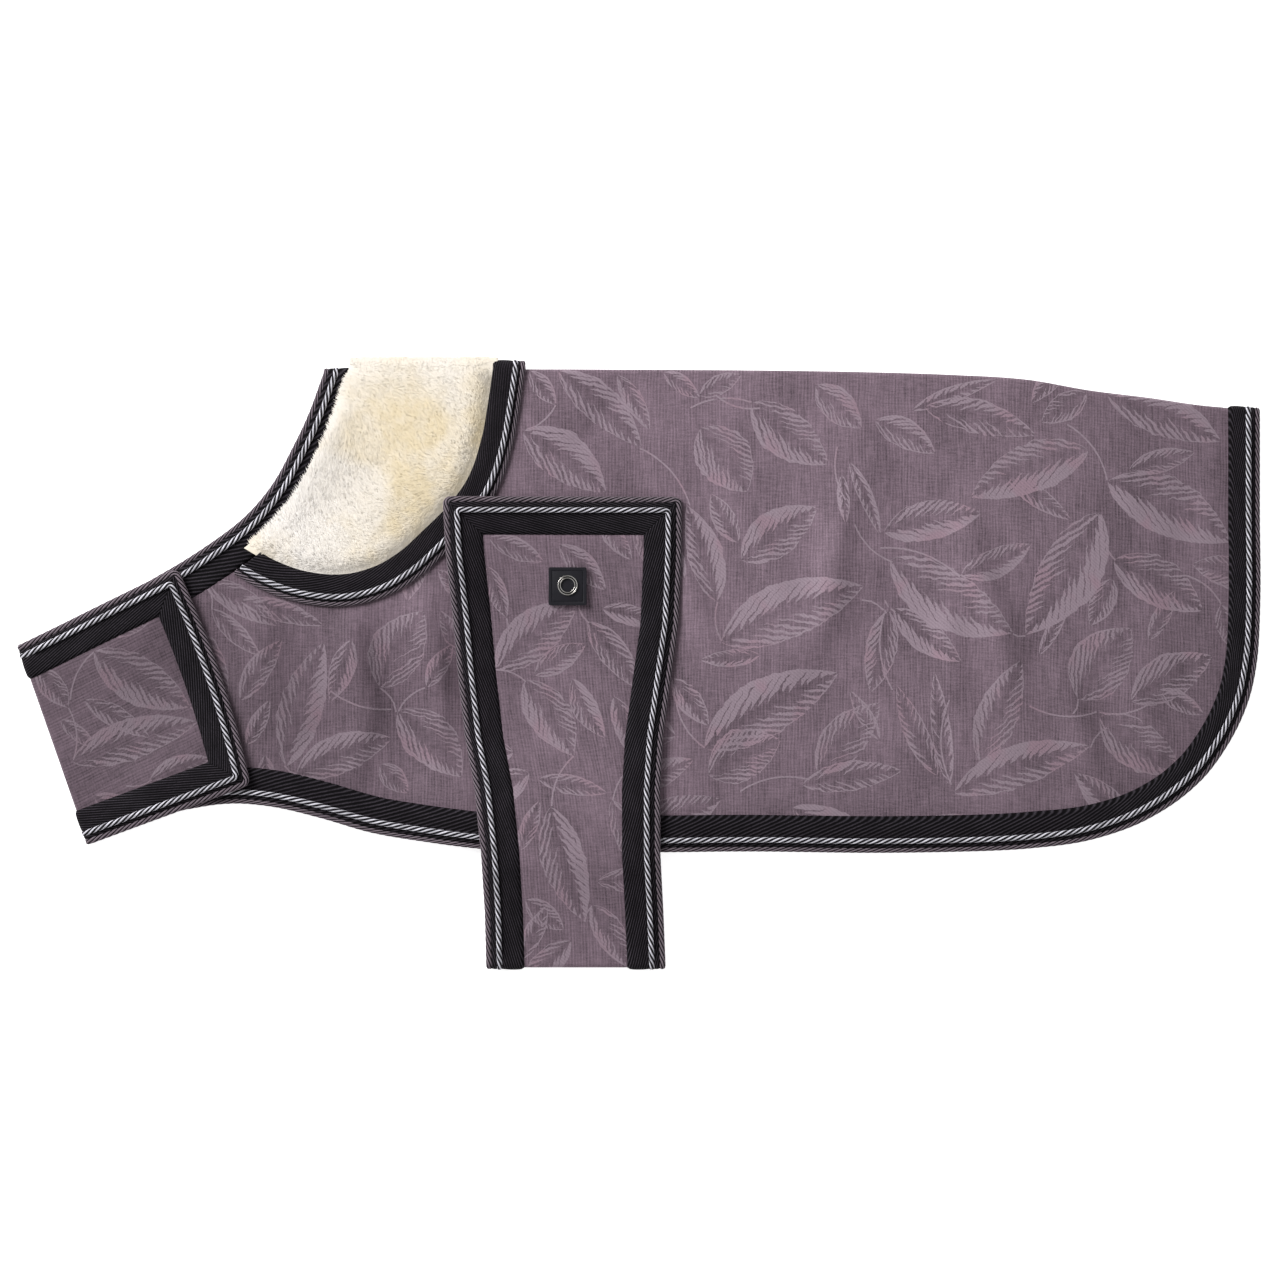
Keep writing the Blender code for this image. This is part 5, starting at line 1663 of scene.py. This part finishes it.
class Board:
    """A node tree with short ways to add the nodes that these finishes need."""

    def __init__(self, tree):
        self.tree = tree

    def node(self, kind, **values):
        made = self.tree.nodes.new(kind)
        for name, value in values.items():
            setattr(made, name, value)
        return made

    def feed(self, socket, value):
        if isinstance(value, Wire):
            self.tree.links.new(value.socket, socket)
        else:
            socket.default_value = (*value, 1.0) if socket.type == "RGBA" else value

    def fed(self, kind, output, given, **values):
        """A new node's output. given holds what goes into its sockets, by name or by number."""
        made = self.node(kind, **values)
        for socket, value in given.items() if isinstance(given, dict) else enumerate(given):
            self.feed(made.inputs[socket], value)
        return Wire(self, made.outputs[output])

    def math(self, operation, *given):
        return self.fed("ShaderNodeMath", 0, given, operation=operation)

    def vector_math(self, operation, *given):
        return self.fed("ShaderNodeVectorMath", 0, given, operation=operation)

    def step(self, value, low, high):
        """0 up to low, 1 from high, smooth between."""
        return self.fed("ShaderNodeMapRange", "Result",
                        {"Value": value, "From Min": low, "From Max": high},
                        interpolation_type="SMOOTHSTEP", clamp=True)

    def ramp(self, value, low, high, to_low, to_high):
        """A straight ramp from to_low at low to to_high at high."""
        return self.fed("ShaderNodeMapRange", "Result",
                        {"Value": value, "From Min": low, "From Max": high, "To Min": to_low,
                         "To Max": to_high}, clamp=True)

    def split(self, vector):
        made = self.node("ShaderNodeSeparateXYZ")
        self.feed(made.inputs[0], vector)
        return [Wire(self, out) for out in made.outputs]

    def join(self, x, y, z=0.0):
        return self.fed("ShaderNodeCombineXYZ", 0, (x, y, z))

    def noise(self, vector, scale, detail, roughness):
        return self.fed("ShaderNodeTexNoise", "Fac",
                        {"Vector": vector, "Scale": scale, "Detail": detail, "Roughness": roughness})

    def chance(self, vector):
        """A random number from 0 to 1 for each value of the vector."""
        return self.fed("ShaderNodeTexWhiteNoise", "Value", {"Vector": vector}, noise_dimensions="3D")

    def mix(self, share, first, second):
        return self.fed("ShaderNodeMix", "Result", {"Factor": share, "A": first, "B": second},
                        data_type="RGBA", blend_type="MIX")

    def bump(self, height, distance, strength):
        return self.fed("ShaderNodeBump", "Normal",
                        {"Height": height, "Distance": distance, "Strength": strength})

    def uv(self, name):
        return self.fed("ShaderNodeUVMap", 0, (), uv_map=name)

    def place(self):
        return self.fed("ShaderNodeTexCoord", "Object", ())

    def attribute(self, name):
        return self.fed("ShaderNodeAttribute", "Vector", (), attribute_name=name)


def node_group(name, inputs, outputs, build):
    """A shader node group with named sockets, made once."""
    group = bpy.data.node_groups.get(name)
    if group:
        return group
    group = bpy.data.node_groups.new(name, "ShaderNodeTree")
    for label, kind in inputs:
        group.interface.new_socket(label, in_out="INPUT", socket_type=kind)
    for label, kind in outputs:
        group.interface.new_socket(label, in_out="OUTPUT", socket_type=kind)
    board = Board(group)
    source, sink = group.nodes.new("NodeGroupInput"), group.nodes.new("NodeGroupOutput")
    wires = {label: Wire(board, source.outputs[label]) for label, _ in inputs}
    for label, value in build(board, wires).items():
        board.feed(sink.inputs[label], value)
    return group


def use_group(board, group, **inputs):
    """The outputs of a group placed on this board, by name."""
    made = board.node("ShaderNodeGroup", node_tree=group)
    for name, value in inputs.items():
        board.feed(made.inputs[name.replace("_", " ")], value)
    return {out.name: Wire(board, out) for out in made.outputs}


FLOAT, VECTOR = "NodeSocketFloat", "NodeSocketVector"
# Threads of the weave for each unit of its noise, and units of its noise for each metre of cloth
THREADS_PER_GRAIN = 3.8
GRAIN = 900.0


def weave_group():
    """Threads of a plain weave with slubs: long uneven lines one way, short ones across."""
    def build(b, given):
        u, v, _ = b.split(given["Vector"])
        u, v = u * given["Fine"], v * given["Fine"]
        slub = b.noise(b.join(u, v * 0.06), 1.0, 2.0, 0.6)
        pick = b.noise(b.join(u * 0.14, v * 1.05 + 31.0), 1.0, 2.0, 0.6)
        grid = b.noise(b.join(u * 1.25, v * 1.25, 7.0), 1.0, 1.0, 0.5)
        bend = b.noise(b.join(u * 0.05, v * 0.05), 1.0, 1.0, 0.5)
        line = b.math("SINE", u * THREADS_PER_GRAIN + bend * 9.0) * 0.5 + 0.5
        slub = line * 0.42 + b.ramp(slub, 0.34, 0.66, 0.0, 1.0) * 0.58
        return {"Slub": slub, "Pick": b.ramp(pick, 0.36, 0.64, 0.0, 1.0),
                "Grain": b.ramp(grid, 0.3, 0.7, 0.0, 1.0)}

    return node_group("woven_threads", (("Vector", VECTOR), ("Fine", FLOAT)),
                      (("Slub", FLOAT), ("Pick", FLOAT), ("Grain", FLOAT)), build)


def leaf_group():
    """One woven leaf from its own coordinates: fingers of float from the margin, and an outline.

    Leaf holds the share of its length, the share of its half width and a seed. Size holds the
    length and half width in millimetres and how full it is: 0 none, 1 full on its filled side.
    """
    def build(b, given):
        a, side, seed = b.split(given["Leaf"])
        length, half, full = b.split(given["Size"])
        along_leaf, from_rib = a * length, side * half
        wander = b.noise(b.join(along_leaf, from_rib, seed * 91.0), 0.16, 2.0, 0.55)
        jag = b.noise(b.join(along_leaf, from_rib, seed * 37.0), 0.75, 2.0, 0.6)
        a_in = b.math("MAXIMUM", b.math("MINIMUM", a, 0.999), 0.001)
        size, base, tip = LEAF_SHAPE
        profile = a_in**base * (1.0 - a_in) ** tip * size
        profile = profile * b.ramp(wander, 0.3, 0.7, 0.93, 1.05)
        across = side / profile
        depth = b.math("ABSOLUTE", across)
        within = (a > 0.0) * (a < 1.0) * (depth < 1.0)
        filled = across < 0.0
        gap = (1.0 - depth) * profile * half
        seed_x = seed * 53.0
        bold = full * b.ramp(filled, 0.0, 1.0, 0.30, 1.0)
        out = depth * profile * half
        # Strokes run from the midrib forwards to the margin
        pitch = length * 0.050 + 2.6
        along = along_leaf - out * 1.75 + (wander - 0.5) * 8.0
        phase = along / pitch + seed_x
        stroke = b.math("FLOOR", phase)
        luck = b.chance(b.join(stroke, filled * 17.0, seed_x))
        luck_two = b.chance(b.join(stroke, filled * 17.0 + 5.0, seed_x))
        place = b.math("FRACT", phase) - 0.5 + (luck_two - 0.5) * 0.22
        place = b.math("ABSOLUTE", place) + (jag - 0.5) * 0.26
        reach = b.ramp(luck, 0.0, 1.0, 0.08, 0.52) - bold * b.ramp(luck, 0.0, 1.0, 0.06, 0.30)
        widest = b.ramp(luck, 0.0, 1.0, 0.12, 0.28) + bold * b.ramp(luck, 0.0, 1.0, 0.28, 0.25)
        thick = b.ramp(depth, reach, reach + 0.30, 0.05, widest)
        fingers = b.step(place, thick + 0.05, thick - 0.05) * b.step(depth, reach - 0.03, reach + 0.05)
        fingers = fingers * (luck_two + bold > 0.22)
        # The filled side's margin is solid, and the other side has a thin outline
        band = 0.60 + bold * filled * (a_in * (1.0 - a_in) * half * 0.55 + 0.1) + (jag - 0.5) * 1.2
        margin = b.step(gap, band + 0.3, band - 0.15)
        broken = b.noise(b.join(along_leaf, from_rib, seed * 11.0), 0.11, 1.0, 0.5)
        broken = b.step(broken, 0.34, 0.42)
        margin = margin * b.math("MAXIMUM", filled * full, broken)
        # Fine sketch lines between the strokes of the open side
        fine = b.math("FRACT", along / (pitch * 0.37) + seed_x)
        sketch = b.step(b.math("ABSOLUTE", fine - 0.5), 0.20, 0.06) * (1.0 - bold) * broken * 0.40
        sketch = sketch * b.step(depth, 0.10, 0.3)
        vein = b.step(b.math("ABSOLUTE", from_rib + (jag - 0.5) * 0.8), 0.25, 0.7)
        mask = b.math("MAXIMUM", b.math("MAXIMUM", fingers, margin), sketch) * within
        mask = mask * b.ramp(vein, 0.0, 1.0, 0.15, 1.0)
        return {"Mask": b.math("MINIMUM", mask, 1.0), "Inside": within}

    return node_group("woven_leaf", (("Leaf", VECTOR), ("Size", VECTOR)),
                      (("Mask", FLOAT), ("Inside", FLOAT)), build)


def strand_group():
    """The strands of a twisted cord, from its UV: distance along in metres, share of a turn."""
    def build(b, given):
        u, v, _ = b.split(given["Vector"])
        turn = (v - u / given["Lay"]) * given["Strands"]
        place = b.math("FRACT", turn + 100.0)
        number = b.math("FLOORED_MODULO", b.math("FLOOR", turn + 100.0), given["Strands"])
        long = b.noise(b.join(turn * 3.1, u * 260.0), 1.0, 2.0, 0.6)
        crest = 1.0 - b.math("ABSOLUTE", place - 0.5) * 2.0
        return {"Crest": crest, "Place": place, "Number": number, "Fibre": long}

    return node_group("twisted_strands", (("Vector", VECTOR), ("Lay", FLOAT), ("Strands", FLOAT)),
                      (("Crest", FLOAT), ("Place", FLOAT), ("Number", FLOAT), ("Fibre", FLOAT)), build)


# Finishes


def finish(name, build):
    """The finish of this name, made once. build gets its board and sets its shader's inputs."""
    made = bpy.data.materials.get(name)
    if made:
        return made
    made = bpy.data.materials.new(name)
    made.use_nodes = True
    board = Board(made.node_tree)
    shader = made.node_tree.nodes["Principled BSDF"]

    def set_inputs(**values):
        for label, value in values.items():
            board.feed(shader.inputs[label.replace("_", " ")], value)

    build(board, set_inputs)
    return made


def times(colour, factor):
    """A colour made lighter or darker by one factor, or by one for each channel."""
    return tuple(float(c) for c in np.array(colour) * factor)


def jacquard(name="mauve_jacquard", shade=1.0, painted_falloff=False):
    """Padded jacquard: a slubbed mauve ground with lighter woven leaves.

    Painted falloff makes the cloth darker towards its two ends and along its lower edge: painted shade
    where the light falls off.
    """
    cloth = bpy.context.scene.coat_cloth

    def build(b, to_shader):
        grain = b.uv("grain")
        threads = use_group(b, weave_group(), Vector=grain, Fine=GRAIN)
        group = leaf_group()
        first = use_group(b, group, Leaf=b.attribute("leaf"), Size=b.attribute("leaf_size"))
        second = use_group(b, group, Leaf=b.attribute("leaf_b"), Size=b.attribute("leaf_b_size"))
        stem_at, stem_share, stem_wide = b.split(b.attribute("stem"))
        wobble = b.noise(b.vector_math("MULTIPLY", grain, (GRAIN, GRAIN, 1.0)), 0.35, 2.0, 0.6)
        stem = b.math("ABSOLUTE", stem_at) + (wobble - 0.5) * 0.5
        stem = b.step(stem, stem_wide + 0.2, stem_wide - 0.1)
        stem = stem * (stem_share > 0.0) * (stem_share < 1.0)
        leaves = b.math("MAXIMUM", first["Mask"], second["Mask"])
        mask = b.math("MAXIMUM", leaves, stem)
        u, v, _ = b.split(grain)
        hatch = b.math("SINE", (u * 0.8 + v) * 2900.0 + (wobble - 0.5) * 5.0) * 0.5 + 0.5
        patchy = b.noise(b.vector_math("MULTIPLY", grain, (26.0, 17.0, 1.0)), 1.0, 3.0, 0.55)
        streak = b.noise(b.vector_math("MULTIPLY", grain, (170.0, 7.0, 1.0)), 1.0, 2.0, 0.6)
        rosy = b.noise(b.vector_math("MULTIPLY", grain, (48.0, 38.0, 1.0)), 1.0, 2.0, 0.5)
        # shade darkens the whole cloth: painted shade, less than 1 for the straps
        dark = times(cloth.ground, shade * 0.34)
        light = times(cloth.ground, shade * 1.72)
        tone = threads["Slub"] * 0.52 + threads["Pick"] * 0.22 + threads["Grain"] * 0.26
        tone = tone * 0.90 + b.ramp(patchy, 0.3, 0.7, -0.12, 0.16) + b.ramp(streak, 0.3, 0.7, 0.0, 0.04)
        base = b.mix(b.math("MINIMUM", tone, 1.0), dark, light)
        leaf = times(cloth.leaf, shade)
        pink = times(leaf, (1.04, 0.90, 0.93))
        floats = b.mix(b.step(rosy, 0.5, 0.66), leaf, pink)
        floats = b.mix(b.ramp(hatch, 0.0, 1.0, 0.34, 0.0) + threads["Grain"] * 0.16, floats,
                       times(leaf, 0.55))
        colour = b.mix(mask * 0.92, base, floats)
        # Painted shade: the ground is a little darker between a leaf's raised strokes
        painted_stroke_shade = b.ramp(b.noise(b.join(u, v, 3.0), 210.0, 1.0, 0.5), 0.35, 0.65, 0.0, 0.26)
        in_leaves = b.math("MINIMUM", first["Inside"] + second["Inside"], 1.0)
        colour = b.mix(in_leaves * (1.0 - mask) * painted_stroke_shade, colour, dark)
        # Painted shade: darker towards both ends and along the lower edge, where the light falls off
        if painted_falloff:
            x, y, _ = b.split(b.place())
            pale = b.ramp(x, -0.24, -0.06, 0.70, 1.0) * b.ramp(x, 0.20, 0.36, 1.0, 0.80)
            pale = pale * b.ramp(y, -0.10, 0.03, 0.87, 1.0)
            colour = b.mix(1.0 - pale, colour, (0.0, 0.0, 0.0))
        height = threads["Slub"] * 0.30 + threads["Pick"] * 0.16 + threads["Grain"] * 0.25
        height = height + mask * (0.75 + hatch * 0.12)
        to_shader(Base_Color=colour, Roughness=b.ramp(mask, 0.0, 1.0, 0.74, 0.56),
                  Normal=b.bump(height, 0.00022, 0.75), Sheen_Weight=0.08, Sheen_Roughness=0.5,
                  Specular_IOR_Level=0.20)

    return finish(name, build)


TWILL_PITCH = 0.0019


def twill():
    """Black twill tape: fine ribs almost along the tape, their crests lighter: a painted sheen."""
    tape = bpy.context.scene.coat_trim.tape

    def build(b, to_shader):
        u, v, _ = b.split(b.uv("grain"))
        wobble = b.noise(b.join(u * 400.0, v * 400.0), 1.0, 2.0, 0.55)
        turn = (v * 0.93 - u * 0.37) * (2 * math.pi / TWILL_PITCH) + (wobble - 0.5) * 1.6
        rib = b.math("SINE", turn) * 0.5 + 0.5
        cut = b.noise(b.join(u * 1500.0, v * 2600.0), 1.0, 1.0, 0.5)
        # Painted sheen: the ribs' crests are lighter
        lit = rib * rib * rib * b.ramp(cut, 0.35, 0.65, 0.35, 1.0)
        broad = b.noise(b.join(u * 60.0, v * 200.0), 1.0, 2.0, 0.5)
        lit = lit * b.ramp(broad, 0.3, 0.7, 0.55, 1.0)
        to_shader(Base_Color=b.mix(lit, times(tape, 0.5), times(tape, 10.5)),
                  Roughness=b.ramp(rib, 0.0, 1.0, 0.95, 0.75),
                  Normal=b.bump(rib + cut * 0.4, 0.0003, 0.8), Specular_IOR_Level=0.09)

    return finish("black_twill", build)


def thread(b, lay, strands, wide, yarns, seam):
    """A twisted thread's strands, its light parts and its relief.

    wide is where a strand's light part ends and where it is full, and seam how light it is
    between two of its yarns, where the darker line is painted shade.
    """
    strand = use_group(b, strand_group(), Vector=b.uv("strand"), Lay=lay, Strands=float(strands))
    lit = b.step(b.math("ABSOLUTE", strand["Place"] - 0.5), *wide)
    # Painted shade: the light part is darker between two yarns
    split = b.math("ABSOLUTE", b.math("FRACT", strand["Place"] * yarns) - 0.5)
    relief = b.bump(strand["Crest"] + strand["Fibre"] * 0.3, 0.0003, 0.8)
    return strand, lit * b.ramp(split, 0.0, 0.5, seam, 1.0), relief


def silver_thread():
    """Twisted piping of silver and black threads."""
    trim = bpy.context.scene.coat_trim

    def build(b, to_shader):
        strand, lit, relief = thread(b, trim.silver_lay, SILVER_STRANDS, (0.25, 0.17), 4.0, 0.75)
        u, _, _ = b.split(b.uv("strand"))
        dull = b.noise(b.join(u * 140.0, strand["Number"] * 7.3), 1.0, 2.0, 0.6)
        lit = lit * b.ramp(dull, 0.3, 0.60, 0.5, 1.0) * b.ramp(strand["Fibre"], 0.3, 0.6, 0.7, 1.0)
        to_shader(Base_Color=b.mix(lit, (0.008, 0.007, 0.009), trim.silver),
                  Roughness=b.ramp(lit, 0.0, 1.0, 0.8, 0.42), Specular_IOR_Level=0.2, Normal=relief)

    return finish("silver_and_black_thread", build)


def grey_thread():
    """Twisted piping of dark mauve-grey threads, with painted shade between its strands."""
    trim = bpy.context.scene.coat_trim

    def build(b, to_shader):
        strand, lit, relief = thread(b, GREY_LAY * MM, GREY_STRANDS, (0.31, 0.21), 3.0, 0.6)
        lit = lit * b.ramp(strand["Fibre"], 0.3, 0.7, 0.6, 1.0)
        # The near-black between the strands is painted shade
        to_shader(Base_Color=b.mix(lit, (0.007, 0.006, 0.008), trim.grey), Roughness=0.8,
                  Specular_IOR_Level=0.15, Normal=relief)

    return finish("grey_and_black_thread", build)


def pile_finish():
    """Cream plush: pale tips, roots darkened by painted shade and soft warm patches."""
    colour = bpy.context.scene.coat_pile.colour

    def build(b, to_shader):
        along, luck, _ = b.split(b.attribute("tuft"))
        at = b.place()
        broad = b.noise(b.vector_math("MULTIPLY", at, (30.0, 22.0, 20.0)), 1.0, 2.0, 0.5)
        small = b.noise(at, 160.0, 2.0, 0.55)
        x, y, _ = b.split(at)
        # Whiter and lighter towards the neck tip and at the spine: partly painted light; the broad warm
        # patches are the pile's own cream
        warm = b.ramp(x, -0.205, -0.135, 0.0, 0.50) + b.ramp(broad, 0.44, 0.64, 0.0, 0.60)
        warm = warm * b.ramp(y, 0.150, 0.174, 1.0, 0.45)
        warm = b.math("MINIMUM", warm * b.ramp(small, 0.3, 0.7, 0.75, 1.1), 1.0)
        white = (0.695, 0.668, 0.645)
        base = b.mix(warm, white, colour)
        base = b.mix(luck * 0.16, base, times(colour, 0.9))
        # Painted shade: the tufts are darker towards their roots
        base = b.mix(b.ramp(along, 0.0, 1.0, 0.10, 0.0), base, times(colour, 0.85))
        # The nap counts for more than the faces of the tufts, so the pile looks soft
        faces = b.fed("ShaderNodeNewGeometry", "Normal", ())
        nap = b.vector_math("MULTIPLY_ADD", b.attribute("nap"), (3.6, 3.6, 3.6), faces)
        # The pile glows a little: painted light that fills its shade
        to_shader(Base_Color=base, Roughness=0.95, Sheen_Weight=0.15, Sheen_Roughness=0.6,
                  Specular_IOR_Level=0.05, Emission_Color=base, Emission_Strength=0.34,
                  Normal=b.vector_math("NORMALIZE", nap))

    return finish("cream_plush", build)


def patch_coating():
    """Black coated cloth with a fine pebble."""
    def build(b, to_shader):
        at = b.place()
        pebble = b.noise(at, 2200.0, 2.0, 0.6)
        wear = b.noise(at, 90.0, 3.0, 0.6)
        to_shader(Base_Color=b.mix(b.ramp(wear, 0.3, 0.7, 0.0, 1.0),
                                   (0.006, 0.006, 0.009), (0.011, 0.010, 0.015)),
                  Roughness=b.ramp(wear, 0.3, 0.7, 0.50, 0.62), Specular_IOR_Level=0.22,
                  Normal=b.bump(pebble, 0.0001, 0.35))

    return finish("black_coated_patch", build)


def ring_finish():
    """Polished nickel, painted brighter and darker round the ring as a painted reflection, with a dark
    line in its groove.
    """
    def build(b, to_shader):
        at = b.place()
        lines = b.noise(b.vector_math("MULTIPLY", at, (900.0, 5000.0, 900.0)), 1.0, 2.0, 0.5)
        x, y, _ = b.split(at)
        centre = (np.array(PATCH_AT) + PLAN_SHIFT + (0.0, RING_UP)) * MM
        x, y = x - float(centre[0]), y - float(centre[1])
        away = b.math("SQRT", x * x + y * y)
        turn = b.math("ARCTAN2", y, x)
        # Painted reflection: the metal's colour is brighter and darker round the ring
        painted_reflection = b.math("SINE", turn * 2.0 + 0.6) * 0.5 + 0.5
        groove = b.step(b.math("ABSOLUTE", away - RING_GROOVE), 0.00042, 0.00022)
        shine = painted_reflection * b.ramp(lines, 0.3, 0.7, 0.75, 1.0)
        metal = b.mix(shine, (0.42, 0.40, 0.37), (0.95, 0.93, 0.90))
        to_shader(Base_Color=b.mix(groove, metal, (0.012, 0.011, 0.012)),
                  Roughness=b.ramp(lines, 0.3, 0.7, 0.16, 0.26), Metallic=1.0)

    return finish("polished_nickel", build)


def floor_finish():
    """A plain pale floor that glows a little, so that the coat's shadow stays soft."""
    colour = bpy.context.scene.coat_stage.floor

    def build(_, to_shader):
        to_shader(Base_Color=colour, Roughness=0.9, Specular_IOR_Level=0.1, Emission_Color=colour,
                  Emission_Strength=0.80)

    return finish("pale_floor", build)


# The straps' cloth is a little darker: painted shade, a shaded copy of the jacquard for each strap
CHEST_PAINTED_SHADE = 0.63
BELLY_PAINTED_SHADE = 0.90


def give(piece, material, slot, *nodes):
    """Gives a piece its finish and its body, and names the CAD nodes that it replaces. slot is not
    used.
    """
    piece.data.materials.clear()
    piece.data.materials.append(material)
    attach(piece, "root")
    if nodes:
        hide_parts(*nodes)
    return piece


class COAT_OT_body_panel(bpy.types.Operator):
    """Make the body panel, folded at the spine"""

    bl_idname = "coat.body_panel"
    bl_label = "Body panel"

    def execute(self, context):
        piece = body_panel_cloth()
        give(piece, jacquard(painted_falloff=True), "jacquard", "body_panel")
        return {"FINISHED"}


class COAT_OT_straps(bpy.types.Operator):
    """Make the chest strap and the belly strap"""

    bl_idname = "coat.straps"
    bl_label = "Straps"

    def execute(self, context):
        belly = give(strap_cloth(BellyStrap()), jacquard("mauve_jacquard_belly", BELLY_PAINTED_SHADE),
                     "jacquard", "belly_strap")
        chest = give(strap_cloth(ChestStrap()), jacquard("mauve_jacquard_chest", CHEST_PAINTED_SHADE),
                     "jacquard", "chest_strap")
        return {"FINISHED"}


class COAT_OT_tapes(bpy.types.Operator):
    """Make the twill tapes of the hem, neck, collar and straps"""

    bl_idname = "coat.tapes"
    bl_label = "Twill tapes"

    def execute(self, context):
        tape = twill()
        for name in ("hem", "neck", "collar"):
            give(body_tape(name), tape, "binding", f"{name}_tape")
        for strap in (BellyStrap(), ChestStrap()):
            give(strap_tape(strap), tape, "binding", f"{strap.name}_tape")
        return {"FINISHED"}


def silver_piping(name, path, up):
    """The silver piping of a binding, in place of its CAD cord."""
    trim = bpy.context.scene.coat_trim
    piece = twisted(f"{name}_silver_piping", *resampled(path, up, SILVER_STEP), trim.silver_width / MM,
                    SILVER_HEIGHT, SILVER_STRANDS, trim.silver_lay / MM, SILVER_FURROW)
    give(piece, silver_thread(), "silver_piping", f"{name}_silver_cord")


def edge_piping(name, path, up, width, height):
    """The edge piping of a binding, in place of its CAD cord."""
    piece = twisted(f"{name}_edge_piping", *resampled(path, up, GREY_STEP), width, height, GREY_STRANDS,
                    GREY_LAY, GREY_FURROW)
    give(piece, grey_thread(), "edge_piping", f"{name}_edge_cord")


class COAT_OT_cords(bpy.types.Operator):
    """Make the silver and the edge piping"""

    bl_idname = "coat.cords"
    bl_label = "Twisted piping"

    def execute(self, context):
        for name, at in (("hem", SILVER_AT), ("neck", SILVER_AT), ("collar", COLLAR_SILVER_AT)):
            silver_piping(name, *body_path(name, at, SILVER_LIFT, True))
            edge_piping(name, *body_path(name, EDGE_CORD / 2, GREY_LIFT, False), EDGE_CORD, GREY_HEIGHT)
        for strap in (BellyStrap(), ChestStrap()):
            silver_piping(
                strap.name, *strap_path(strap, strap.silver_at, SILVER_LIFT, SILVER_TURN, True))
            edge_piping(strap.name, *strap_path(strap, STRAP_CORD / 2, GREY_LIFT, GREY_TURN, False),
                        STRAP_CORD, STRAP_GREY_HEIGHT)
        return {"FINISHED"}


class COAT_OT_collar(bpy.types.Operator):
    """Make the pile collar"""

    bl_idname = "coat.collar"
    bl_label = "Pile collar"

    def execute(self, context):
        pile = pile_finish()
        lining = give(collar_lining(), pile, "fleece", "collar_fleece")
        tufts = give(collar_pile(), pile, "fleece")
        return {"FINISHED"}


class COAT_OT_patch(bpy.types.Operator):
    """Make the patch of the belly strap and its ring"""

    bl_idname = "coat.patch"
    bl_label = "Patch and ring"

    def execute(self, context):
        give(make_patch(), patch_coating(), "patch", "patch")
        give(make_ring(), ring_finish(), "ring_metal", "patch_ring")
        return {"FINISHED"}


# Name, place, size and power of each light
LIGHTS = (("key", (-2.3, 1.8, 2.2), 1.9, 165.0), ("fill", (0.9, -1.0, 2.0), 1.8, 4.0))
DAYLIGHT = 0.35
# The floor's size, m, the middle of the view in plan and the camera's sensor, mm, and the height
# above the floor at which the frame's width is measured, m
FLOOR_SIZE = 8.0
VIEW_CENTRE = np.array((0.6, 13.5)) + PLAN_SHIFT
SENSOR = 36.0
FRAME_HEIGHT = 0.01


class COAT_OT_stage(bpy.types.Operator):
    """Make the floor, the lights and the camera"""

    bl_idname = "coat.stage"
    bl_label = "Stage"

    def execute(self, context):
        settings = context.scene.coat_stage
        bpy.ops.object.select_all(action="DESELECT")
        bpy.ops.mesh.primitive_plane_add(size=FLOOR_SIZE, location=(0.0, 0.0, 0.0))
        floor = context.active_object
        floor.name = "floor"
        floor.data.materials.append(floor_finish())
        camera = bpy.data.cameras.new("camera")
        camera.sensor_width = SENSOR
        camera.lens = SENSOR * (settings.camera_height - FRAME_HEIGHT) / settings.frame_width
        eye = bpy.data.objects.new("camera", camera)
        eye.location = (*(VIEW_CENTRE * MM), settings.camera_height)
        context.scene.collection.objects.link(eye)
        context.scene.camera = eye
        for name, place, size, power in LIGHTS:
            light = bpy.data.lights.new(name, "AREA")
            light.size = size
            light.energy = power
            lamp = bpy.data.objects.new(name, light)
            lamp.location = place
            lamp.rotation_euler = (-Vector(place)).to_track_quat("-Z", "Y").to_euler()
            context.scene.collection.objects.link(lamp)
        world = bpy.data.worlds.new("world")
        world.use_nodes = True
        sky = world.node_tree.nodes["Background"].inputs
        sky["Color"].default_value = (1.0, 1.0, 1.0, 1.0)
        sky["Strength"].default_value = DAYLIGHT
        context.scene.world = world
        context.scene.view_settings.view_transform = "Standard"
        return {"FINISHED"}


class COAT_PT_pieces(bpy.types.Panel):
    """The coat's settings and pieces"""

    bl_idname = "COAT_PT_pieces"
    bl_label = "Dog winter coat"
    bl_space_type = "VIEW_3D"
    bl_region_type = "UI"
    bl_category = "Coat"

    def draw(self, context):
        for name, group in SETTINGS.items():
            box = self.layout.box()
            for setting in group.__annotations__:
                box.prop(getattr(context.scene, name), setting)
        for step in STEPS:
            self.layout.operator(step)


CLASSES = (
    ClothSettings, TrimSettings, PileSettings, StageSettings,
    COAT_OT_body_panel, COAT_OT_collar, COAT_OT_straps, COAT_OT_tapes, COAT_OT_cords, COAT_OT_patch,
    COAT_OT_stage, COAT_PT_pieces,
)
STEPS = (
    "coat.body_panel", "coat.collar", "coat.straps", "coat.tapes", "coat.cords", "coat.patch",
    "coat.stage",
)
SETTINGS = {
    "coat_cloth": ClothSettings, "coat_trim": TrimSettings, "coat_pile": PileSettings,
    "coat_stage": StageSettings,
}


def register():
    for made in CLASSES:
        bpy.utils.register_class(made)
    for name, group in SETTINGS.items():
        setattr(bpy.types.Scene, name, PointerProperty(type=group))


def unregister():
    for name in SETTINGS:
        delattr(bpy.types.Scene, name)
    for made in reversed(CLASSES):
        bpy.utils.unregister_class(made)


def main():
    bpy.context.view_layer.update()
    register()
    bpy.ops.coat.body_panel()
    bpy.ops.coat.collar()
    bpy.ops.coat.straps()
    bpy.ops.coat.tapes()
    bpy.ops.coat.cords()
    bpy.ops.coat.patch()
    bpy.ops.coat.stage()


if __name__ == "__main__":
    main()
